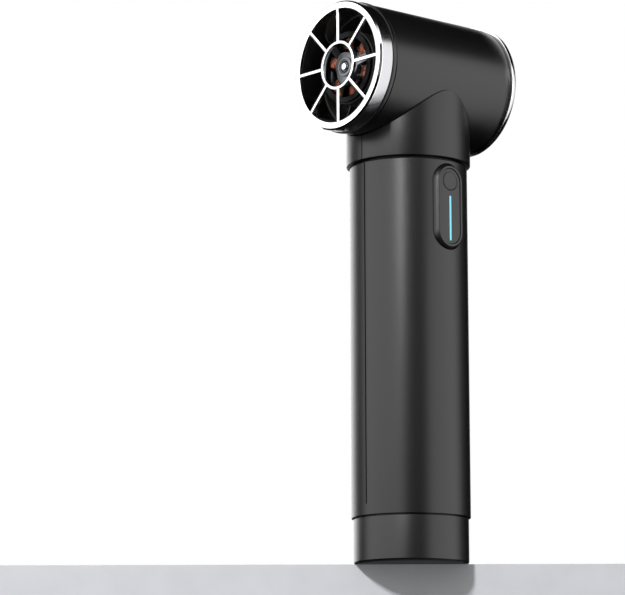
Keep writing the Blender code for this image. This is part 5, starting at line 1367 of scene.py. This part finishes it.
class BLOWER_OT_panel(bpy.types.Operator):
    """Bezel, inlay, light bar and power button"""

    bl_idname = "blower.panel"
    bl_label = "Control panel"

    def execute(self, context):
        finish = context.scene.blower_finish
        look = panel_abs(finish.shell_colour, finish.panel_roughness)
        self.make_bezel(look)
        self.make_inlay(look)
        self.make_light(finish)
        self.make_button(look)
        return {"FINISHED"}

    def make_bezel(self, look):
        face, half_width = BEZEL_HIGH.x, PANEL_HALF_WIDTH
        rim = half_width - PANEL_FLARE
        window = rim - 1.15 * MM
        ledge = window - 0.8 * MM
        ledge_height = PLATE_LOW.x - CLEARANCE
        edge, window_edge = 0.35 * MM, 0.12 * MM
        flank = math.radians(42)
        rows = [
            (half_width, BEZEL_BACK),
            (half_width, face - 2.4 * MM),
            (half_width - 0.27 * MM, face - 1.2 * MM),
            (half_width - 0.33 * MM, face - 1.1 * MM),
        ]
        rows += arc((rim - edge, face - edge), edge, flank, math.pi / 2, 5)
        rows += arc((window + window_edge, face - window_edge), window_edge, math.pi / 2, math.pi, 4)
        rows += [(window, ledge_height), (ledge, ledge_height), (ledge, BEZEL_BACK)]
        bezel = panel_pill("bezel", rows, PANEL_HALF_RUN, closed_along=True)
        low, high, radius = BEZEL_BACK - OVERCUT, ledge_height + 0.1 * MM, BUTTON_FLANGE + CLEARANCE
        room = drum("flange room", low, high, radius, PANEL_PLACE, MIDDLE_FACETS, (0, BUTTON_RISE))
        combine(bezel, room, "DIFFERENCE")
        dress(bezel, look, "blower", ["panel_bezel"], sharp_angle=35)

    def make_inlay(self, look):
        face, back, half_width = PLATE_HIGH.x, PLATE_LOW.x, PLATE_HIGH.y
        edge = 0.15 * MM
        rows = [(half_width, back)] + arc((half_width - edge, face - edge), edge, 0, math.pi / 2, 4)
        inlay = panel_pill("inlay", rows, PANEL_HALF_RUN)
        low, high, centre = back - OVERCUT, face + OVERCUT, (0, BUTTON_RISE)
        hole = drum("button hole", low, high, BUTTON_RADIUS + 0.1 * MM, PANEL_PLACE, MIDDLE_FACETS, centre)
        combine(inlay, hole, "DIFFERENCE")
        slot_rows = [(LIGHT_HALF_WIDTH + 0.06 * MM, height) for height in (low, high)]
        slot = panel_pill("slot", slot_rows, LIGHT_HALF_RUN, steps=8, centre=(0, -LIGHT_DROP))
        combine(inlay, slot, "DIFFERENCE")
        dress(inlay, look, "blower", ["panel_plate"], sharp_angle=35)

    def make_light(self, finish):
        half_width, face = LIGHT_HALF_WIDTH, LIGHT_HIGH.x
        rows = [
            (half_width, LIGHT_LOW.x),
            (half_width, face - 0.15 * MM),
            (half_width * 0.9, face - 0.04 * MM),
            (half_width * 0.6, face),
        ]
        guide = panel_pill("light_guide", rows, LIGHT_HALF_RUN, steps=8, centre=(0, -LIGHT_DROP))
        look = light_guide_acrylic(finish.light_colour, finish.light_strength)
        dress(guide, look, "blower", ["light_bar"], sharp_angle=50)

    def make_button(self, look):
        face, flange_low = BUTTON_HIGH.x, BUTTON_LOW.x
        flange_high = flange_low + 0.7 * MM
        radius = BUTTON_RADIUS - 0.35 * MM
        dish, slope = 0.8 * MM, 1.4 * MM
        lip = radius - 0.2 * MM
        place = PANEL_PLACE @ Matrix.Translation((0, BUTTON_RISE, 0))
        button = turned(
            "button",
            [
                (flange_low, 0.0, 0.0),
                (flange_low, BUTTON_FLANGE, 0.1 * MM),
                (flange_high, BUTTON_FLANGE, 0.1 * MM),
                (flange_high, radius, 0.0),
                (face, radius, 0.12 * MM),
                (face, lip, 0.05 * MM),
                (face - dish, lip - slope, 0.5 * MM),
                (face - dish, 0.0, 0.0),
            ],
            place,
            MIDDLE_FACETS,
        )
        dress(button, look, "button", ["power_button"], sharp_angle=35)


class BLOWER_OT_base(bpy.types.Operator):
    """Base cap and the foot pad that the blower stands on"""

    bl_idname = "blower.base"
    bl_label = "Base"

    def execute(self, context):
        finish = context.scene.blower_finish
        radius = CAP_HIGH.x
        bottom, spigot_top = CAP_LOW.z, CAP_HIGH.z
        seam, floor, recess_depth, rim_width, wall = 0.4 * MM, 4.5 * MM, 1.3 * MM, 1.25 * MM, 1.5 * MM
        top = SLEEVE_LOW.z - seam
        floor_top, recess_top = bottom + floor, bottom + recess_depth
        recess, inner = radius - rim_width, SPIGOT_RADIUS - wall
        cap = turned(
            "cap",
            [
                (recess_top, 0.0, 0.0),
                (recess_top, recess, 0.1 * MM),
                (bottom, recess, 0.1 * MM),
                (bottom, radius - 0.35 * MM, 0.1 * MM),
                (bottom + 0.45 * MM, radius, 0.3 * MM),
                (top, radius, 0.25 * MM),
                (top, SPIGOT_RADIUS, 0.0),
                (spigot_top, SPIGOT_RADIUS, 0.1 * MM),
                (spigot_top, inner, 0.1 * MM),
                (floor_top, inner, 0.5 * MM),
                (floor_top, 0.0, 0.0),
            ],
        )
        socket_y = (SOCKET_LOW.y + SOCKET_HIGH.y) / 2
        socket_radius = (SOCKET_HIGH.y - SOCKET_LOW.y) / 2
        half_run = SOCKET_HIGH.x - socket_radius
        low, high = bottom - OVERCUT, floor_top + OVERCUT
        self.cut_window(cap, socket_radius + CLEARANCE, half_run, socket_y, low, high)
        hole_radius, pocket_radius, pocket_top = 1.5 * MM, 2.8 * MM, bottom + 3.0 * MM
        for side in (-1, 1):
            place = (side * (SCREW_LOW.x + SCREW_HIGH.x) / 2, 0)
            combine(cap, drum("screw hole", low, high, hole_radius, centre=place), "DIFFERENCE")
            combine(cap, drum("screw pocket", low, pocket_top, pocket_radius, centre=place), "DIFFERENCE")
        post_radius, post_offset = 1.8 * MM, 9.5 * MM
        low, high = floor_top - 1.0 * MM, floor_top + 3.4 * MM
        for side in (-1, 1):
            post = drum("board post", low, high, post_radius, centre=(side * post_offset, -post_offset))
            combine(cap, post, "UNION")
        look = satin_shell(finish)
        dress(cap, look, "blower", ["base_cap"])
        foot = turned(
            "foot",
            [
                (FOOT_LOW.z, 0.0, 0.0),
                (FOOT_LOW.z, FOOT_HIGH.x, 0.45 * MM),
                (FOOT_HIGH.z, FOOT_HIGH.x, 0.1 * MM),
                (FOOT_HIGH.z, 0.0, 0.0),
            ],
        )
        low, high = -OVERCUT, FOOT_HIGH.z + OVERCUT
        self.cut_window(foot, socket_radius + 1.5 * MM, half_run, socket_y, low, high)
        dress(foot, silicone_rubber(), "blower", ["foot_pad"])
        return {"FINISHED"}

    def cut_window(self, target, radius, half_run, y, low, high):
        """Cuts the socket's window, a stadium that is long across the handle."""
        outlines = [pill(radius, half_run, height, 12) for height in (low, high)]
        loops = [[(along, across + y, height) for across, along, height in outline] for outline in outlines]
        combine(target, raw("socket window", loops_to_bmesh(loops)), "DIFFERENCE")


# ---- what stays as the frame gives it ----


class BLOWER_OT_inner_parts(bpy.types.Operator):
    """Finishes for the frame's own parts inside the head and the handle"""

    bl_idname = "blower.inner_parts"
    bl_label = "Inner parts"

    def execute(self, context):
        steel = metal("steel, ground", srgb("#C6C8CA"), 0.24, 0.04, 0.8 * MM)
        nylon = glass_filled_nylon()
        rubber = silicone_rubber()
        board = solder_mask()
        insulator = moulded_plastic("polyester, moulded", srgb("#5B5E63"), 0.5, 0.4 * MM, 0.01 * MM)
        wrap = moulded_plastic("PVC shrink wrap", srgb("#1F4E8C"), 0.3, 3 * MM, 0.02 * MM)
        grain, depth = 0.5 * MM, 0.005 * MM
        sleeve = moulded_plastic("silicone lead sleeve", srgb("#1A1A1D"), 0.45, grain, depth)
        red_sleeve = moulded_plastic("silicone lead sleeve, red", srgb("#A81D1D"), 0.45, grain, depth)
        nickel = metal("nickel strip, rolled", srgb("#BDBAB0"), 0.3, 0.04, 1.0 * MM, 0.01 * MM)
        magnet = metal("neodymium, nickel plated", srgb("#A3A4A6"), 0.2, 0.04, 1.5 * MM)
        shield = metal("steel, pressed and blued", srgb("#5E6063"), 0.4, 0.05, 0.8 * MM)
        looks = {
            "bearing_outer_outlet": shield,
            "bearing_inner_outlet": shield,
            "stator_core": laminated_steel(),
            "winding_insulator_outlet": insulator,
            "winding_insulator_intake": insulator,
            "mount_ring_outlet": rubber,
            "mount_ring_intake": rubber,
            "rotor_magnet": magnet,
            "switch_board": board,
            "controller_board": board,
            "charge_board": board,
            "tact_switch": nylon,
            "switch_plunger": nylon,
            "cell_holder_base": nylon,
            "cell_holder_top": nylon,
            "capacitor": sleeve,
            "battery_lead_positive": red_sleeve,
        }
        families = {
            "bearing_": steel,
            "base_screw_": steel,
            "usb_socket": steel,
            "battery_cell_": wrap,
            "cell_link_": nickel,
            "motor_wire_": sleeve,
            "battery_lead_negative": sleeve,
            "charge_lead": sleeve,
        }
        for name, node in frame["nodes"].items():
            family = [look for start, look in families.items() if name.startswith(start)]
            look = looks.get(name) or next(iter(family), None)
            if look is None:
                if not node.hide_render:
                    raise RuntimeError(f"{name} has no finish")
                continue
            node.data.materials.clear()
            node.data.materials.append(look)
        return {"FINISHED"}


# ---- stage ----

# The camera stands a little below the slab's level and looks up at the head.
LENS_PIXELS = 2957.62  # focal length in pixels of the photographed frame
FRAME_WIDTH_PIXELS = 625
SENSOR_WIDTH = 36.0
CAMERA_AZIMUTH = math.radians(49.3)
CAMERA_DISTANCE = 1233.3 * MM  # level distance from the handle's axis
CAMERA_SIDESTEP = -40.96 * MM
CAMERA_HEIGHT = -104.01 * MM
CAMERA_PITCH = math.radians(9.99)
CAMERA_ROLL = math.radians(-0.15)


# Each card's azimuths from the camera's own, its lowest and highest height, its distance, and its brightness
# at those two heights.
CARDS = (
    ("left_softbox", (-98, -13), -0.2, 1.6, 1.0, (2.6, 2.6)),
    ("left_wing", (-105, -98), -0.2, 1.6, 1.0, (1.4, 1.4)),
    ("right_softbox", (32, 99), -0.8, 0.79, 1.0, (2.35, 2.35)),
    ("right_wing", (99, 111), -1.1, 0.79, 1.0, (1.1, 1.1)),
    ("strip", (-22, -12), 0.2, 0.7, 0.98, (0.4, 32.0)),
    ("front_fill", (-9, 31), -0.1, 0.6, 1.0, (0.18, 0.18)),
    ("front_top", (-9, 31), 0.75, 1.9, 1.0, (2.4, 0.0)),
    ("rim_card", (-175, -137), -0.3, 0.9, 2.0, (3.2, 3.2)),
)


def around(azimuth_deg, distance, height):
    """A place at an azimuth counted from the camera's own, positive to the camera's right."""
    angle = CAMERA_AZIMUTH + math.radians(azimuth_deg)
    return Vector((math.sin(angle) * distance, -math.cos(angle) * distance, height))


def make_camera():
    data = bpy.data.cameras.new("camera")
    data.sensor_width = SENSOR_WIDTH
    data.lens = LENS_PIXELS / FRAME_WIDTH_PIXELS * SENSOR_WIDTH
    data.clip_start, data.clip_end = 0.05, 20.0
    camera = placed("camera", data)
    rightwards = Vector((math.cos(CAMERA_AZIMUTH), math.sin(CAMERA_AZIMUTH), 0))
    camera.location = around(0, CAMERA_DISTANCE, CAMERA_HEIGHT) + rightwards * CAMERA_SIDESTEP
    camera.rotation_euler = (
        Matrix.Rotation(CAMERA_AZIMUTH, 3, "Z")
        @ Matrix.Rotation(math.pi / 2 + CAMERA_PITCH, 3, "X")
        @ Matrix.Rotation(CAMERA_ROLL, 3, "Z")
    ).to_euler()
    bpy.context.scene.camera = camera


def make_lamp(name, azimuth, elevation, distance, side, power):
    """A square lamp, placed by its direction and distance from the middle of the foot, where it points."""
    data = bpy.data.lights.new(name, "AREA")
    data.shape = "RECTANGLE"
    data.size, data.size_y = side, side
    data.energy = power
    lamp = placed(name, data)
    lift = math.radians(elevation)
    lamp.location = around(azimuth, distance * math.cos(lift), distance * math.sin(lift))
    lamp.rotation_euler = (-lamp.location).to_track_quat("-Z", "Y").to_euler()
    return lamp


def reflected_only(thing, name, levels, low=0.0, high=1.0):
    """Makes a stage piece that only reflections see, as bright as two levels say at two heights."""
    made, tree = new_material(name)
    place = add_node(tree, "ShaderNodeTexCoord")
    height = add_node(tree, "ShaderNodeSeparateXYZ", {"Vector": place.outputs["Object"]}).outputs["Z"]
    level = add_node(
        tree,
        "ShaderNodeMapRange",
        {"Value": height, "From Min": low, "From Max": high, "To Min": levels[0], "To Max": levels[1]},
    )
    glow = add_node(tree, "ShaderNodeEmission", {"Strength": level.outputs["Result"]})
    add_node(tree, "ShaderNodeOutputMaterial", {"Surface": glow.outputs[0]})
    thing.data.materials.append(made)
    thing.visible_camera = False
    thing.visible_diffuse = False
    thing.visible_shadow = False
    thing.visible_transmission = False
    return thing


def make_card(name, azimuths, low, high, distance, levels):
    """A curved studio card between two azimuths and two heights."""
    steps = 12
    bm = bmesh.new()
    rows = []
    for height in (low, high):
        row = []
        for i in range(steps + 1):
            azimuth = azimuths[0] + (azimuths[1] - azimuths[0]) * i / steps
            row.append(bm.verts.new(around(azimuth, distance, height)))
        rows.append(row)
    for i in range(steps):
        bm.faces.new((rows[0][i], rows[0][i + 1], rows[1][i + 1], rows[1][i]))
    return reflected_only(raw(name, bm), name, levels, low, high)


def make_drape(azimuths, radius, low, high, gap, level):
    """A dark drape round, over and under the stage. Behind the blower it has a gap between two heights."""
    levels = (level, level)
    behind = (azimuths[1], azimuths[0] + 360)
    make_card("drape_wall", azimuths, low, high, radius, levels)
    make_card("drape_header", behind, gap[1], high, radius, levels)
    make_card("drape_footer", behind, low, gap[0], radius, levels)
    for name, height in (("drape_over", high), ("drape_under", low)):
        bm = bmesh.new()
        lift = Matrix.Translation((0, 0, height))
        bmesh.ops.create_circle(bm, cap_ends=True, segments=48, radius=radius, matrix=lift)
        reflected_only(raw(name, bm), name, levels)


def make_world(level):
    """Plain white behind the object, also in its reflections, and a weaker even light on it."""
    world = bpy.data.worlds.new("studio")
    world.use_nodes = True
    tree = world.node_tree
    tree.nodes.clear()
    rays = add_node(tree, "ShaderNodeLightPath").outputs
    seen = add_node(
        tree,
        "ShaderNodeMath",
        {0: rays["Is Camera Ray"], 1: rays["Is Glossy Ray"]},
        operation="ADD",
    )
    seen = add_node(
        tree,
        "ShaderNodeMath",
        {0: seen.outputs[0], 1: rays["Is Transmission Ray"]},
        operation="ADD",
        use_clamp=True,
    )
    dim = add_node(tree, "ShaderNodeBackground", {"Color": rgba((1, 1, 1)), "Strength": level})
    white = add_node(tree, "ShaderNodeBackground", {"Color": rgba((1, 1, 1)), "Strength": 1.0})
    mixed = add_node(
        tree, "ShaderNodeMixShader", {0: seen.outputs[0], 1: dim.outputs[0], 2: white.outputs[0]}
    )
    add_node(tree, "ShaderNodeOutputWorld", {"Surface": mixed.outputs[0]})
    bpy.context.scene.world = world


class BLOWER_OT_stage(bpy.types.Operator):
    """Slab, lamps, cards, world and camera"""

    bl_idname = "blower.stage"
    bl_label = "Stage"

    def execute(self, context):
        studio = context.scene.blower_studio
        slab = block("slab", (-1.5, -studio.slab_edge, -0.09), (1.5, 2.0, 0.0))
        slab.rotation_euler = (0, 0, CAMERA_AZIMUTH)
        look = moulded_plastic("plaster, cast and painted", studio.slab_colour, 0.55, 2 * MM, 0.002 * MM)
        slab.data.materials.append(look)
        slab.visible_glossy = False
        level = studio.lamp_level
        key = make_lamp("key", -28, 36, 2.0, 0.2, 34.0 * level)
        key.visible_glossy = False
        for name, azimuths, low, high, distance, levels in CARDS:
            make_card(name, azimuths, low, high, distance, (levels[0] * level, levels[1] * level))
        make_drape((-128, 162), 2.2, -1.6, 2.6, (0.0, 1.45), 0.004)
        make_world(studio.room_level)
        make_camera()
        context.scene.view_settings.view_transform = "Standard"
        return {"FINISHED"}


# ---- panel and registration ----


class BLOWER_PT_sidebar(bpy.types.Panel):
    """Lists the blower's sizes, finishes and makers"""

    bl_idname = "BLOWER_PT_sidebar"
    bl_label = "Jet blower"
    bl_space_type = "VIEW_3D"
    bl_region_type = "UI"
    bl_category = "Jet blower"

    def draw(self, context):
        layout = self.layout
        for name in GROUPS:
            group = getattr(context.scene, name)
            box = layout.box()
            for setting in group.__annotations__:
                box.prop(group, setting)
        column = layout.column()
        for operator in OPERATORS:
            column.operator(operator.bl_idname)


GROUPS = {
    "blower_finish": BLOWER_PG_finish,
    "blower_sizes": BLOWER_PG_sizes,
    "blower_studio": BLOWER_PG_studio,
}
OPERATORS = (
    BLOWER_OT_barrel,
    BLOWER_OT_grille,
    BLOWER_OT_intake,
    BLOWER_OT_duct,
    BLOWER_OT_motor,
    BLOWER_OT_rotor,
    BLOWER_OT_neck,
    BLOWER_OT_sleeve,
    BLOWER_OT_panel,
    BLOWER_OT_base,
    BLOWER_OT_inner_parts,
    BLOWER_OT_stage,
)


def register():
    for group in GROUPS.values():
        bpy.utils.register_class(group)
    for name, group in GROUPS.items():
        setattr(bpy.types.Scene, name, bpy.props.PointerProperty(type=group))
    for operator in OPERATORS:
        bpy.utils.register_class(operator)
    bpy.utils.register_class(BLOWER_PT_sidebar)


def unregister():
    bpy.utils.unregister_class(BLOWER_PT_sidebar)
    for operator in reversed(OPERATORS):
        bpy.utils.unregister_class(operator)
    for name in GROUPS:
        delattr(bpy.types.Scene, name)
    for group in reversed(GROUPS.values()):
        bpy.utils.unregister_class(group)


def remove_starting_objects():
    """Removes the camera, lamp and cube that a new file starts with."""
    kept = set(frame["nodes"].values()) | set(frame["bodies"].values())
    for obj in list(bpy.data.objects):
        if obj not in kept:
            bpy.data.objects.remove(obj, do_unlink=True)


def main():
    register()
    remove_starting_objects()
    for operator in OPERATORS:
        category, name = operator.bl_idname.split(".")
        getattr(getattr(bpy.ops, category), name)()


if __name__ == "__main__":
    main()
